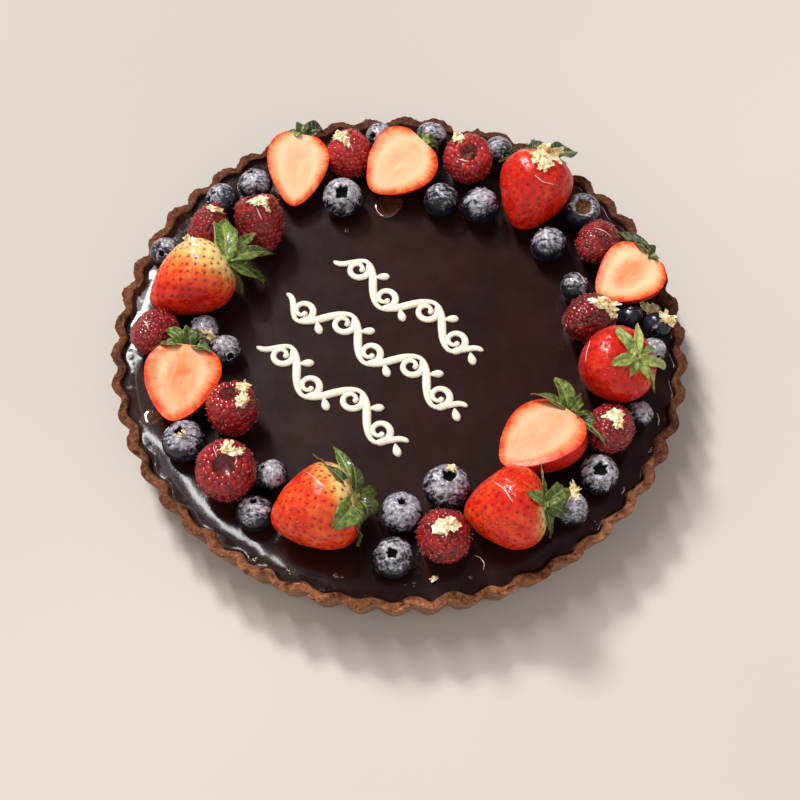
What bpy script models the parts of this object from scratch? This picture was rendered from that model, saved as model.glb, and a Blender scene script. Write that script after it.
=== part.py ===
"""A chocolate tart: a fluted chocolate shell, a set ganache filling, and a ring of fresh berries on top.

Run it with: blender --background --python part.py
Metres, +Z up. The origin is the centre of the base, where the tart stands.
"""

import math

import bmesh
import bpy
from mathutils import Matrix, Vector

MM = 0.001

# The shell: a 24 cm fluted tart, 25 mm deep, whose wall leans in towards the base.
TART_RADIUS = 120 * MM
TART_HEIGHT = 25 * MM
WALL_LEAN = 8 * MM
FLUTES = 50
FLUTE_DEPTH = 3 * MM
POINTS_PER_FLUTE = 4
RIM_THICKNESS = 3.2 * MM
RIM_ROUNDING = 1.0 * MM
INNER_WAVE = 0.5 * MM
FLOOR_THICKNESS = 5 * MM
# Where the rim has crumbled: heading and half width in degrees, and depth.
RIM_CHIPS = (
    (76.5, 3.5, 2.0 * MM),
    (27.0, 3.0, 0.8 * MM),
    (-108.0, 4.0, 1.0 * MM),
)

# The ganache stops a little below the rim. Neighbouring solids keep a small gap.
FILLING_HEIGHT = 22.5 * MM
GAP = 0.3 * MM

# A blueberry is a slightly flat ball. Its crown is a low five-pointed rim round a hollow. The shares are of
# the ball's radius across and of its half height upwards.
BLUEBERRY_SIDES = 10
BLUEBERRY_FLATNESS = 0.88
BLUEBERRY_RING_DEGREES = (36, 72, 108, 140)
CROWN_POINTS = 5
CROWN_RADIUS = 0.38
CROWN_POINT_REACH = 0.05
CROWN_HEIGHT = 0.97
CROWN_POINT_RISE = 0.03
CROWN_FLOOR_RADIUS = 0.20
CROWN_FLOOR_HEIGHT = 0.80
CROWN_FLOOR_DIP = 0.78

# A raspberry is a blunt cone. Each ring has its share of the radius and of the height, from the open end.
RASPBERRY_SIDES = 12
RASPBERRY_RINGS = ((0.38, 0.0), (0.80, 0.06), (1.00, 0.34), (0.88, 0.64), (0.55, 0.90))
DRUPELET_RELIEF = 0.04
HOLLOW_DEPTH = 0.5
HOLLOW_END_RADIUS = 0.26
HOLLOW_END_ROUNDING = 0.85

# A strawberry tapers to its tip and is widest near its leafy end, where a ring of sepals caps it. The shares
# are of its width across and of its length along.
STRAWBERRY_SIDES = 14
STRAWBERRY_BODY_RINGS = 6
STRAWBERRY_LAST_RING_DEGREES = 163
STRAWBERRY_TAPER = 0.35
STRAWBERRY_WIDEST = 1.06
SEPAL_NECK = (0.12, 0.47)
SEPAL_TIPS = (0.27, 0.50)
SEPAL_REACH = 0.09
SEPAL_RISE = 0.02
STALK_FOOT = (0.06, 0.53)
STALK_TOP = 0.56

# Where each berry lies: x and y in mm, its size, and its attitude in degrees. An axis that leans 0
# stands up, and one that leans 90 lies down, pointing along its heading, which runs anticlockwise from +X.
# Blueberry: x, y, diameter, heading and lean of the crown.
BLUEBERRIES = {
    "blueberry_01": (-100, 39.5, 14, 250, 25),
    "blueberry_02": (-78, 67, 15.5, 200, 40),
    "blueberry_03": (-64.5, 76.5, 15.5, 120, 30),
    "blueberry_04": (-26, 70, 17.5, 270, 15),
    "blueberry_05": (-10.5, 104, 13.5, 215, 40),
    "blueberry_06": (12.5, 105, 14, 60, 35),
    "blueberry_07": (17, 69.5, 15.5, 300, 30),
    "blueberry_08": (34, 66.5, 17, 90, 30),
    "blueberry_09": (42, 97.5, 13.5, 300, 45),
    "blueberry_10": (78, 65, 16.5, 270, 12),
    "blueberry_11": (63, 47, 16, 110, 25),
    "blueberry_12": (73.5, 25.5, 14, 20, 35),
    "blueberry_13": (96, 12.5, 11.5, 200, 40),
    "blueberry_14": (107, 8, 12, 250, 50),
    "blueberry_15": (104.5, -4.5, 12, 290, 40),
    "blueberry_16": (97.5, -34, 11.5, 60, 60),
    "blueberry_17": (79.5, -62, 16, 270, 8),
    "blueberry_18": (67.5, -77.5, 15, 330, 20),
    "blueberry_19": (19.5, -70, 19, 60, 12),
    "blueberry_20": (2, -80.5, 16.5, 90, 10),
    "blueberry_21": (-1, -99.5, 16.5, 250, 10),
    "blueberry_22": (-49.5, -65, 13.5, 160, 40),
    "blueberry_23": (-55, -81.5, 15, 100, 15),
    "blueberry_24": (-85, -51, 17.5, 170, 10),
    "blueberry_25": (-71.5, -8, 13.5, 300, 50),
    "blueberry_26": (-81, 1.5, 13.5, 150, 35),
}
# Raspberry: x, y, diameter, height, heading and lean of the tip, and whether its hollow shows.
RASPBERRIES = {
    "raspberry_01": (-23.5, 92.5, 19.5, 20, 90, 12, False),
    "raspberry_02": (28.5, 89, 21.5, 19, 90, 165, True),
    "raspberry_03": (82.7, 46.5, 17, 19.5, 235, 70, False),
    "raspberry_04": (77, 7, 20, 21, 215, 70, False),
    "raspberry_05": (84, -45, 19, 20, 250, 60, False),
    "raspberry_06": (18.5, -93.5, 21, 21, 270, 45, False),
    "raspberry_07": (-66.5, -66.5, 24, 23, 90, 170, True),
    "raspberry_08": (-66, -39.5, 20.5, 20, 290, 160, True),
    "raspberry_09": (-101.5, -3.5, 18.5, 20, 240, 60, False),
    "raspberry_10": (-82, 51.5, 17, 19, 60, 40, False),
    "raspberry_11": (-60.5, 52, 20.5, 24, 285, 135, True),
}
# Strawberry: x, y, length, width, heading and lean of the leafy end, and turn about its own axis.
STRAWBERRIES = {
    "strawberry_01": (56, 70, 35, 32.5, 70, 74, 10),
    "strawberry_02": (86, -18, 34, 31, -21, 31, 0),
    "strawberry_03": (42, -82, 32, 33, 3, 80, 20),
    "strawberry_04": (-31, -83.5, 35, 34.5, 14, 78, 0),
    "strawberry_05": (-87.5, 20.5, 37.5, 31.5, 30, 76, 15),
}
STRAWBERRY_HALVES = {
    "strawberry_half_01": (-46, 82, 35, 27, 86, 76, 8),
    "strawberry_half_02": (-2, 83.5, 33, 31, 45, 75, 12),
    "strawberry_half_03": (95, 28.5, 31.5, 28.5, 40, 82, 0),
    "strawberry_half_04": (55.5, -51.5, 37, 33, 41, 82, 20),
    "strawberry_half_05": (-87.5, -27.3, 34.5, 31.5, 84, 84, 0),
}

# The base colour and the roughness of each material.
CRUST_LOOK = ((0.16, 0.07, 0.035, 1.0), 0.8)
GANACHE_LOOK = ((0.028, 0.013, 0.012, 1.0), 0.25)
BLUEBERRY_LOOK = ((0.05, 0.055, 0.10, 1.0), 0.5)
RASPBERRY_LOOK = ((0.32, 0.015, 0.025, 1.0), 0.3)
STRAWBERRY_LOOK = ((0.65, 0.05, 0.02, 1.0), 0.25)


def clear_scene():
    for obj in list(bpy.data.objects):
        bpy.data.objects.remove(obj)


def make_material(name, look):
    colour, roughness = look
    material = bpy.data.materials.new(name)
    material.use_nodes = True
    shader = material.node_tree.nodes["Principled BSDF"]
    shader.inputs["Base Color"].default_value = colour
    shader.inputs["Roughness"].default_value = roughness
    shader.inputs["Metallic"].default_value = 0.0
    return material


def ringed_solid(name, sides, ring_count, place):
    """A closed body of rings between two poles. place(ring, angle) gives a point, where ring 0 is a pole."""
    work = bmesh.new()
    bmesh.ops.create_uvsphere(work, u_segments=sides, v_segments=ring_count + 1, radius=1.0)
    for vertex in work.verts:
        height = max(-1.0, min(1.0, vertex.co.z))
        ring = round((1 - math.acos(height) / math.pi) * (ring_count + 1))
        side = round(math.atan2(vertex.co.y, vertex.co.x) / math.tau * sides)
        vertex.co = place(ring, side * math.tau / sides)
    mesh = bpy.data.meshes.new(name)
    work.to_mesh(mesh)
    work.free()
    return bpy.data.objects.new(name, mesh)


def finish(obj, collection, material, sharp_degrees=40):
    obj.data.materials.append(material)
    obj.data.shade_smooth()
    obj.data.set_sharp_from_angle(angle=math.radians(sharp_degrees))
    collection.objects.link(obj)
    return obj


def around(angle, radius, height):
    return Vector((radius * math.cos(angle), radius * math.sin(angle), height))


def flute_wave(angle):
    """From -1 in a valley to 1 on a crest. A crest lies on the +Y axis."""
    return math.cos(FLUTES * (angle - math.pi / 2))


def outer_radius(angle, height):
    lean = WALL_LEAN * (1 - height / TART_HEIGHT)
    return TART_RADIUS - lean - FLUTE_DEPTH * (1 - flute_wave(angle)) / 2


def inner_radius(angle, height):
    lean = WALL_LEAN * (1 - height / TART_HEIGHT)
    return TART_RADIUS - FLUTE_DEPTH - RIM_THICKNESS - lean + INNER_WAVE * flute_wave(angle)


def rim_height(angle):
    """The height of the rim's crest, which is lower where the pastry has crumbled."""
    height = TART_HEIGHT
    for heading, half_width, depth in RIM_CHIPS:
        away = (math.degrees(angle) - heading + 180) % 360 - 180
        height -= depth * max(0.0, 1 - (away / half_width) ** 2)
    return height


def make_crust():
    """The shell: a floor and a fluted, leaning wall with a rounded rim."""

    def place(ring, angle):
        crest = (outer_radius(angle, TART_HEIGHT) + inner_radius(angle, TART_HEIGHT)) / 2
        shoulder = rim_height(angle) - RIM_ROUNDING
        return (
            Vector((0, 0, 0)),
            around(angle, outer_radius(angle, 0), 0),
            around(angle, outer_radius(angle, shoulder), shoulder),
            around(angle, crest, rim_height(angle)),
            around(angle, inner_radius(angle, shoulder), shoulder),
            around(angle, inner_radius(angle, FLOOR_THICKNESS), FLOOR_THICKNESS),
            Vector((0, 0, FLOOR_THICKNESS)),
        )[ring]

    return ringed_solid("crust", FLUTES * POINTS_PER_FLUTE, 5, place)


def make_filling():
    """The ganache, which fills the shell from its floor to just below the rim."""
    bottom = FLOOR_THICKNESS + GAP

    def place(ring, angle):
        return (
            Vector((0, 0, bottom)),
            around(angle, inner_radius(angle, bottom) - GAP, bottom),
            around(angle, inner_radius(angle, FILLING_HEIGHT) - GAP, FILLING_HEIGHT),
            Vector((0, 0, FILLING_HEIGHT)),
        )[ring]

    return ringed_solid("filling", FLUTES * POINTS_PER_FLUTE, 2, place)


def make_blueberry(name, diameter):
    """A slightly flat ball with a five-pointed crown round a shallow hollow at its top."""
    radius = diameter / 2
    half_height = radius * BLUEBERRY_FLATNESS
    body_rings = len(BLUEBERRY_RING_DEGREES)

    def place(ring, angle):
        if ring == 0:
            return Vector((0, 0, -half_height))
        if ring <= body_rings:
            polar = math.radians(BLUEBERRY_RING_DEGREES[ring - 1])
            return around(angle, radius * math.sin(polar), -half_height * math.cos(polar))
        point = math.cos(CROWN_POINTS * angle)
        crown_radius = radius * (CROWN_RADIUS + CROWN_POINT_REACH * point)
        crown_height = half_height * (CROWN_HEIGHT + CROWN_POINT_RISE * point)
        return (
            around(angle, crown_radius, crown_height),
            around(angle, radius * CROWN_FLOOR_RADIUS, half_height * CROWN_FLOOR_HEIGHT),
            Vector((0, 0, half_height * CROWN_FLOOR_DIP)),
        )[ring - body_rings - 1]

    return ringed_solid(name, BLUEBERRY_SIDES, body_rings + 2, place)


def make_raspberry(name, diameter, height, is_open):
    """A blunt cone of drupelets. Where the stem end shows, it holds the core's hollow."""
    radius = diameter / 2
    base = -height / 2
    hollow = height * HOLLOW_DEPTH if is_open else 0.0
    rings = len(RASPBERRY_RINGS) + 1

    def place(ring, angle):
        if ring == 0:
            return Vector((0, 0, base + hollow))
        if ring == 1:
            return around(angle, radius * HOLLOW_END_RADIUS, base + hollow * HOLLOW_END_ROUNDING)
        if ring > rings:
            return Vector((0, 0, -base))
        share, level = RASPBERRY_RINGS[ring - 2]
        side = round(angle / math.tau * RASPBERRY_SIDES)
        relief = DRUPELET_RELIEF * (-1) ** (side + ring) if ring > 2 else 0.0
        return around(angle, radius * (share + relief - DRUPELET_RELIEF), base + height * level)

    return ringed_solid(name, RASPBERRY_SIDES, rings, place)


def make_strawberry(name, length, width):
    """A tapering berry with its ring of sepals, as one closed body round the Z axis. Its tip is below."""
    last_polar = math.radians(STRAWBERRY_LAST_RING_DEGREES)

    def place(ring, angle):
        if ring <= STRAWBERRY_BODY_RINGS:
            polar = last_polar * ring / STRAWBERRY_BODY_RINGS
            swell = (1 - STRAWBERRY_TAPER * math.cos(polar)) / STRAWBERRY_WIDEST
            return around(angle, width / 2 * math.sin(polar) * swell, -length / 2 * math.cos(polar))
        star = math.cos(STRAWBERRY_SIDES / 2 * angle)
        tips_radius = SEPAL_TIPS[0] + SEPAL_REACH * star
        tips_height = SEPAL_TIPS[1] + SEPAL_RISE * star
        return (
            around(angle, width * SEPAL_NECK[0], length * SEPAL_NECK[1]),
            around(angle, width * tips_radius, length * tips_height),
            around(angle, width * STALK_FOOT[0], length * STALK_FOOT[1]),
            Vector((0, 0, length * STALK_TOP)),
        )[ring - STRAWBERRY_BODY_RINGS - 1]

    return ringed_solid(name, STRAWBERRY_SIDES, STRAWBERRY_BODY_RINGS + 3, place)


def halve(obj):
    """Cuts the berry along its axis and keeps the half on +X, with a flat cut face."""
    work = bmesh.new()
    work.from_mesh(obj.data)
    everything = work.verts[:] + work.edges[:] + work.faces[:]
    cut = bmesh.ops.bisect_plane(
        work, geom=everything, plane_co=(0, 0, 0), plane_no=(1, 0, 0), clear_inner=True, dist=1e-7
    )
    edges = [item for item in cut["geom_cut"] if isinstance(item, bmesh.types.BMEdge)]
    bmesh.ops.holes_fill(work, edges=edges)
    bmesh.ops.recalc_face_normals(work, faces=work.faces)
    work.to_mesh(obj.data)
    work.free()
    return obj


def lay_down(obj, x, y, heading, lean, turn=0.0):
    """Leans the berry's +Z axis towards its heading and rests it on the ganache at x and y, in mm."""
    attitude = (
        Matrix.Rotation(math.radians(heading), 4, "Z")
        @ Matrix.Rotation(math.radians(lean), 4, "Y")
        @ Matrix.Rotation(math.radians(turn), 4, "Z")
    )
    lowest = min((attitude @ vertex.co).z for vertex in obj.data.vertices)
    obj.rotation_euler = attitude.to_euler()
    obj.location = (x * MM, y * MM, FILLING_HEIGHT + GAP - lowest)


def main():
    clear_scene()
    tart = bpy.data.collections.new("chocolate_tart")
    bpy.context.scene.collection.children.link(tart)
    crust = make_material("crust", CRUST_LOOK)
    ganache = make_material("ganache", GANACHE_LOOK)
    blueberry = make_material("blueberry", BLUEBERRY_LOOK)
    raspberry = make_material("raspberry", RASPBERRY_LOOK)
    strawberry = make_material("strawberry", STRAWBERRY_LOOK)

    finish(make_crust(), tart, crust)
    finish(make_filling(), tart, ganache)
    for name, (x, y, diameter, heading, lean) in BLUEBERRIES.items():
        berry = finish(make_blueberry(name, diameter * MM), tart, blueberry)
        lay_down(berry, x, y, heading, lean)
    for name, (x, y, diameter, height, heading, lean, is_open) in RASPBERRIES.items():
        berry = finish(make_raspberry(name, diameter * MM, height * MM, is_open), tart, raspberry)
        lay_down(berry, x, y, heading, lean)
    for name, (x, y, length, width, heading, lean, turn) in STRAWBERRIES.items():
        berry = finish(make_strawberry(name, length * MM, width * MM), tart, strawberry)
        lay_down(berry, x, y, heading, lean, turn)
    for name, (x, y, length, width, heading, lean, turn) in STRAWBERRY_HALVES.items():
        berry = halve(make_strawberry(name, length * MM, width * MM))
        lay_down(finish(berry, tart, strawberry), x, y, heading, lean, turn)


main()
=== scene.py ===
"""The looks of a chocolate tart: a fluted shell, glossy ganache, fresh berries, gold leaf and icing scrolls.

Lengths are in millimetres until a mesh is made, which is in metres. The tart stands at the origin, +Z up.
"""

import math

import bpy
import numpy as np
from mathutils import Matrix, Vector
from mathutils.bvhtree import BVHTree


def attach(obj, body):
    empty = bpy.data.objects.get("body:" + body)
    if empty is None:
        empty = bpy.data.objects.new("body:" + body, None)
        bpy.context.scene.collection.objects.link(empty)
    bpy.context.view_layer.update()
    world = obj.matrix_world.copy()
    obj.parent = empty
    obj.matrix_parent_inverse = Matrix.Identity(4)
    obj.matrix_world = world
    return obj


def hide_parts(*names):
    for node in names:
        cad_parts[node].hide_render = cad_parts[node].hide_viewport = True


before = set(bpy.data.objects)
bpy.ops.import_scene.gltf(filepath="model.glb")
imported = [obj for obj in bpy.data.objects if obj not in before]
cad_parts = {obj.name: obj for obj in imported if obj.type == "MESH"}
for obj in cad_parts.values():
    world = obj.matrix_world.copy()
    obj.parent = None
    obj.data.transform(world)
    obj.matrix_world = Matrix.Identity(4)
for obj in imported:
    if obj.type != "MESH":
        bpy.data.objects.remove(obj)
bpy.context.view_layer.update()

MM = 0.001
TAU = math.tau
GOLDEN = math.pi * (3 - math.sqrt(5))
UP = np.array([0.0, 0.0, 1.0])
# How many waves a ripple is made of
WAVES = 26

# ---------------------------------------------------------------- mesh helpers


def ripple(points, size, seed):
    """Smooth noise at the points, mostly within -1 to 1, whose bumps are about size apart."""
    rng = np.random.default_rng(seed)
    way = rng.normal(size=(WAVES, 3))
    way *= (TAU / (2.0 * size) * rng.uniform(0.6, 1.4, WAVES) / np.linalg.norm(way, axis=1))[:, None]
    return np.sin(points @ way.T + rng.uniform(0, TAU, WAVES)).sum(1) / math.sqrt(WAVES)


def smoothstep(low, high, x):
    t = np.clip((x - low) / (high - low), 0, 1)
    return t * t * (3 - 2 * t)


def unit(v):
    return v / np.maximum(np.linalg.norm(v, axis=-1, keepdims=True), 1e-12)


def circle(sides):
    """Angles evenly round a circle."""
    return np.arange(sides) * TAU / sides


def around(radius, angle, z):
    """Points at that radius and height, one for each angle."""
    return np.stack([radius * np.cos(angle), radius * np.sin(angle), z + 0 * angle], -1)


def from_axis(points):
    return np.hypot(points[:, 0], points[:, 1])


def tube(rings, start=None, end=None):
    """A closed body of rings (rows x columns x 3) with a point at each end, going outwards from start to end."""
    rows, columns = rings.shape[:2]
    ends = [rings[0].mean(0) if start is None else start, rings[-1].mean(0) if end is None else end]
    ring = np.arange(rows * columns).reshape(rows, columns)
    after = np.roll(ring, -1, axis=1)
    hub = np.full(columns, rows * columns)
    faces = [
        np.stack([ring[:-1], after[:-1], after[1:], ring[1:]], -1).reshape(-1, 4),
        np.stack([hub, after[0], ring[0]], -1),
        np.stack([hub + 1, ring[-1], after[-1]], -1),
    ]
    return np.concatenate([rings.reshape(-1, 3), ends]), faces


def join(shapes):
    """One body of many, each (points, faces, {name: a value for each point})."""
    points, faces, values, first = [], [], {}, 0
    names = {name for shape in shapes if len(shape) > 2 for name in shape[2]}
    for shape in shapes:
        points.append(shape[0])
        faces += [f + first for f in shape[1]]
        own = shape[2] if len(shape) > 2 else {}
        for name in names:
            values.setdefault(name, []).append(np.broadcast_to(own.get(name, 0.0), len(shape[0])))
        first += len(shape[0])
    return np.concatenate(points), faces, {name: np.concatenate(v) for name, v in values.items()}


def add(name, data):
    obj = bpy.data.objects.new(name, data)
    bpy.context.scene.collection.objects.link(obj)
    return obj


def piece(name, shape, material, replaces=(), sharp=None):
    """Makes the shape a mesh object that rides on the tart and stands for those CAD nodes."""
    points, faces = shape[0] * MM, shape[1]
    values = shape[2] if len(shape) > 2 else {}
    loops = np.concatenate([f.ravel() for f in faces]).astype(np.int32)
    sizes = np.concatenate([np.full(len(f), f.shape[1]) for f in faces])
    mesh = bpy.data.meshes.new(name)
    mesh.vertices.add(len(points))
    mesh.vertices.foreach_set("co", points.astype(np.float32).ravel())
    mesh.loops.add(len(loops))
    mesh.loops.foreach_set("vertex_index", loops)
    mesh.polygons.add(len(sizes))
    mesh.polygons.foreach_set("loop_start", np.concatenate([[0], sizes.cumsum()[:-1]]).astype(np.int32))
    mesh.update(calc_edges=True)
    mesh.validate()
    for key, value in values.items():
        layer = mesh.attributes.new(key, "FLOAT", "POINT")
        layer.data.foreach_set("value", np.asarray(value, np.float32))
    mesh.shade_smooth()
    if sharp:
        mesh.set_sharp_from_angle(angle=math.radians(sharp))
    mesh.materials.append(material)
    obj = add(name, mesh)
    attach(obj, "root")
    if replaces:
        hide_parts(*replaces)


def ball(centre, axes, sides, rows, start=0.0):
    """A small ball with its own three axes, given as rows. start leaves off the part that is buried."""
    polar = start + (math.pi - start) * np.linspace(0, 1, rows + 2)[1:-1]
    rings = np.array([around(math.sin(p), circle(sides), -math.cos(p)) for p in polar])
    points, faces = tube(rings, start=np.array([0, 0, -1.0]), end=UP)
    return points @ axes + centre, faces


def strand(path, radii, sides):
    """A thin tube along the path."""
    ahead = unit(np.gradient(path, axis=0))
    side = unit(np.cross(ahead, [0.03, 0.02, 1.0]))
    up = np.cross(side, ahead)
    across, over = (way(circle(sides)) * radii[:, None] for way in (np.cos, np.sin))
    rings = path[:, None] + side[:, None] * across[..., None] + up[:, None] * over[..., None]
    return tube(rings[:, ::-1])


def attitude(heading, lean, turn=0.0):
    """Rotation that leans +Z towards the heading, after a turn about +Z, all in degrees."""
    return np.array(
        Matrix.Rotation(math.radians(heading), 3, "Z")
        @ Matrix.Rotation(math.radians(lean), 3, "Y")
        @ Matrix.Rotation(math.radians(turn), 3, "Z")
    )


# ---------------------------------------------------------------- material helpers


class Look:
    """A Principled material and short ways to add nodes to it. Sizes of patterns are in millimetres."""

    def __init__(self, name, **sockets):
        self.material = bpy.data.materials.new(name)
        self.material.use_nodes = True
        self.tree = self.material.node_tree
        self.shader = self.tree.nodes["Principled BSDF"]
        for key, value in sockets.items():
            self.shader.inputs[key.replace("_", " ")].default_value = value
        self.place = self.tree.nodes.new("ShaderNodeTexCoord").outputs["Object"]

    def feed(self, socket, value):
        if isinstance(value, bpy.types.NodeSocket):
            self.tree.links.new(value, socket)
        elif isinstance(value, tuple) and socket.type == "RGBA":
            socket.default_value = (*value, 1.0)
        else:
            socket.default_value = value

    def node(self, kind, feeds, out=0, **settings):
        """Adds a node, feeds its sockets and returns one of its outputs."""
        made = self.tree.nodes.new("ShaderNode" + kind)
        for key, value in settings.items():
            setattr(made, key, value)
        for key, value in feeds.items():
            self.feed(made.inputs[key], value)
        return made.outputs[out]

    def noise(self, size, detail, rough=0.55, distortion=0.0, vector=None):
        feeds = {"Scale": 1000.0 / size, "Detail": detail, "Roughness": rough, "Distortion": distortion}
        return self.node("TexNoise", feeds | {"Vector": vector or self.place}, "Fac")

    def cells(self, size):
        return self.node("TexVoronoi", {"Scale": 1000.0 / size, "Vector": self.place}, "Distance")

    def stretch(self, scale):
        return self.node("Mapping", {"Scale": scale, "Vector": self.place})

    def axis(self, name):
        """X, Y or Z of the place on the tart, in metres."""
        return self.node("SeparateXYZ", {0: self.place}, name)

    def value(self, name):
        return self.node("Attribute", {}, "Fac", attribute_name=name)

    def math(self, operation, a, b=0.0, clamp=False):
        return self.node("Math", {0: a, 1: b}, operation=operation, use_clamp=clamp)

    def plus(self, a, b, clamp=False):
        return self.math("ADD", a, b, clamp)

    def minus(self, a, b):
        return self.math("SUBTRACT", a, b)

    def times(self, a, b, clamp=False):
        return self.math("MULTIPLY", a, b, clamp)

    def span(self, x, low, high, to_low=0.0, to_high=1.0):
        feeds = {"Value": x, "From Min": low, "From Max": high, "To Min": to_low, "To Max": to_high}
        return self.node("MapRange", feeds, interpolation_type="SMOOTHSTEP")

    def ramp(self, x, stops):
        """Each stop: position, red, green and blue, as 0 to 255."""
        out = self.node("ValToRGB", {"Fac": x})
        elements = out.node.color_ramp.elements
        while len(elements) < len(stops):
            elements.new(0.5)
        for element, (position, *colour) in zip(elements, stops):
            element.position = position
            element.color = (*srgb(*colour), 1.0)
        return out

    def mix(self, share, a, b, blend="MIX"):
        return self.node("Mix", {"Factor": share, 6: a, 7: b}, 2, data_type="RGBA", blend_type=blend)

    def tint(self, share, base, *colour):
        """The base, multiplied by that colour where share is 1."""
        return self.mix(share, base, self.mix(1.0, base, srgb(*colour), "MULTIPLY"))

    def dab(self, share, base, *colour):
        """That colour, given as 0 to 255, over the base."""
        return self.mix(share, base, srgb(*colour))

    def put(self, socket, value):
        self.feed(self.shader.inputs[socket], value)
        return self

    def colour(self, value):
        return self.put("Base Color", value)

    def bump(self, height, depth, socket="Normal"):
        """depth is how far the height's 0 and 1 lie apart, in millimetres."""
        feeds = {"Height": height, "Distance": depth * MM}
        before = self.shader.inputs[socket].links
        if before:
            feeds["Normal"] = before[0].from_socket
        return self.put(socket, self.node("Bump", feeds))

    def grain(self, size, detail, depth, socket="Normal"):
        return self.bump(self.noise(size, detail), depth, socket)


def srgb(r, g, b):
    """A colour given as 0 to 255, made linear."""
    return tuple((c / 255 / 12.92) if c <= 10 else ((c / 255 + 0.055) / 1.055) ** 2.4 for c in (r, g, b))


def speckled(name, size, detail, stops, grain=None, **sockets):
    """A material whose colour runs through the stops in a noise. grain: size, detail and depth of its bumps."""
    look = Look(name, **sockets)
    look.colour(look.ramp(look.noise(size, detail), stops))
    if grain:
        look.grain(*grain)
    return look.material


# ---------------------------------------------------------------- the shell

TART_RADIUS = 120.0
TART_HEIGHT = 25.0
WALL_LEAN = 8.0
FLUTES = 50
FLUTE_DEPTH = 3.0
# The mean of the wall's inside is this far in from the rim's valleys.
WALL_INSET = 2.3
FLOOR = 5.0
GANACHE = 22.5
# Where the rim has crumbled: heading and half width in degrees, depth at the top, and bite into its outside.
RIM_CHIPS = ((76.5, 3.0, 2.0, 2.2), (27.0, 3.0, 0.8, 0.3), (-108.0, 4.0, 0.9, 0.0), (-58.0, 2.0, 0.5, 0.6))


def flute_lobe(angle):
    """1 on a crest and 0 in a valley. The crests are round and the valleys narrow."""
    half = np.cos(FLUTES * (angle - math.pi / 2) / 2)
    soft = 0.05
    low, high = math.sqrt(soft), math.sqrt(1 + soft)
    return (np.sqrt(half * half + soft) - low) / (high - low)


def outer_radius(angle, z):
    return TART_RADIUS - WALL_LEAN * (1 - z / TART_HEIGHT) - FLUTE_DEPTH * (1 - flute_lobe(angle))


def mean_inner_radius(z):
    return TART_RADIUS - FLUTE_DEPTH - WALL_INSET - WALL_LEAN * (1 - z / TART_HEIGHT)


def inner_radius(angle, z):
    return mean_inner_radius(z) + np.cos(FLUTES * (angle - math.pi / 2))


def chips(angle):
    """How far the rim is down, and how far its outside is in, where it has crumbled."""
    down, inward = 0 * angle, 0 * angle
    for heading, half_width, depth, bite in RIM_CHIPS:
        away = (np.degrees(angle) - heading + 180) % 360 - 180
        share = smoothstep(1.0, 0.55, np.abs(away) / half_width)
        down, inward = down + depth * share, inward + bite * share
    return down, inward


def make_crust():
    """The shell. worn is 1 on the crumbly top of the rim and 0 on the walls, which the tin made smooth."""
    columns = FLUTES * 26
    angle = circle(columns)
    ring = around(100.0, angle, 0.0)
    down, inward = chips(angle)
    height = TART_HEIGHT - down - 0.65 - 0.4 * ripple(ring, 14, 1) - 0.22 * ripple(ring, 3, 2)
    thick = 0.5 * ripple(ring, 9, 3) + 0.28 * ripple(ring, 2.6, 8)
    rows = [around(share * outer_radius(angle, 0), angle, 0.0) for share in (0.3, 0.6, 0.85, 0.95)]
    for share in (0.0, 0.35, 1.0):
        rows.append(around(outer_radius(angle, 0) - 0.9 * (1 - share), angle, 0.8 * share * share))
    for share in np.linspace(0.06, 0.975, 22):
        z = height * share
        rows.append(around(outer_radius(angle, z) - inward * smoothstep(0.75, 0.95, share), angle, z))
    outside = outer_radius(angle, height) - inward
    inside = inner_radius(angle, height) + thick
    for across, sink in zip(
        (0.0, 0.03, 0.09, 0.17, 0.27, 0.37, 0.47, 0.57, 0.67, 0.77, 0.86, 0.93, 0.98, 1.0),
        (0.22, 0.02, 0.0, 0.02, 0.04, 0.04, 0.03, 0.02, 0.02, 0.06, 0.16, 0.36, 0.75, 1.3),
    ):
        rows.append(around(outside + (inside - outside) * across, angle, height - sink))
    # For each row so far and the inside's: none on the walls, most on the rim's top, a little less inside
    worn = np.array([0.0] * 27 + [0.15, 0.4] + [1.0] * 12 + [0.9] * 10)
    for share in np.linspace(0.9, 0.2, 8):
        rows.append(around(inner_radius(angle, height * share) + thick, angle, height * share))
    rows = np.array(rows)
    worn = np.repeat(worn, columns)
    points, faces = tube(rows, start=np.zeros(3), end=np.array([0, 0, FLOOR]))
    # Grain: the baked crumb stands out by a few tenths on the rim's top, with small cracks and pits.
    flat = rows.reshape(-1, 3)
    outward = unit(flat * [1, 1, 0])
    flakes = smoothstep(-0.25, 0.25, ripple(flat, 2.6, 21)) + 0.7 * smoothstep(-0.25, 0.25, ripple(flat, 1.4, 22))
    crumb = 0.12 * ripple(flat, 1.9, 4) + 0.12 * ripple(flat, 1.0, 5) + 0.13 * ripple(flat, 4.5, 6)
    crumb += 0.34 * (flakes - 0.85)
    crack = np.exp(-((ripple(flat, 5.5, 7) / 0.1) ** 2)) * smoothstep(0.1, 0.9, ripple(flat, 12, 9))
    pits = smoothstep(1.05, 1.9, ripple(flat, 1.5, 10))
    beyond = (from_axis(flat) > 100) & (flat[:, 2] > 0.4)
    lift = np.where(beyond, worn * (crumb - 0.55 * crack - 0.5 * pits) + (1 - worn) * 0.35 * crumb, 0.0)
    top = np.where(worn > 0.5, 1.0, 0.0)
    points[: len(flat)] += outward * (lift * (1 - 0.5 * top))[:, None]
    points[: len(flat), 2] += lift * top
    over = from_axis(points) / (TART_RADIUS - 0.1)
    points[:, :2] /= np.maximum(over, 1.0)[:, None]
    # Painted shade: dark in the cracks and pits and where the crumb lies low on the rim's top.
    dark = np.append(worn * smoothstep(0.0, 0.6, crack + pits - 1.4 * crumb - 0.2), [0, 0])
    return points, faces, {"worn": np.append(worn, [0, 1]), "pitted": dark}


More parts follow.
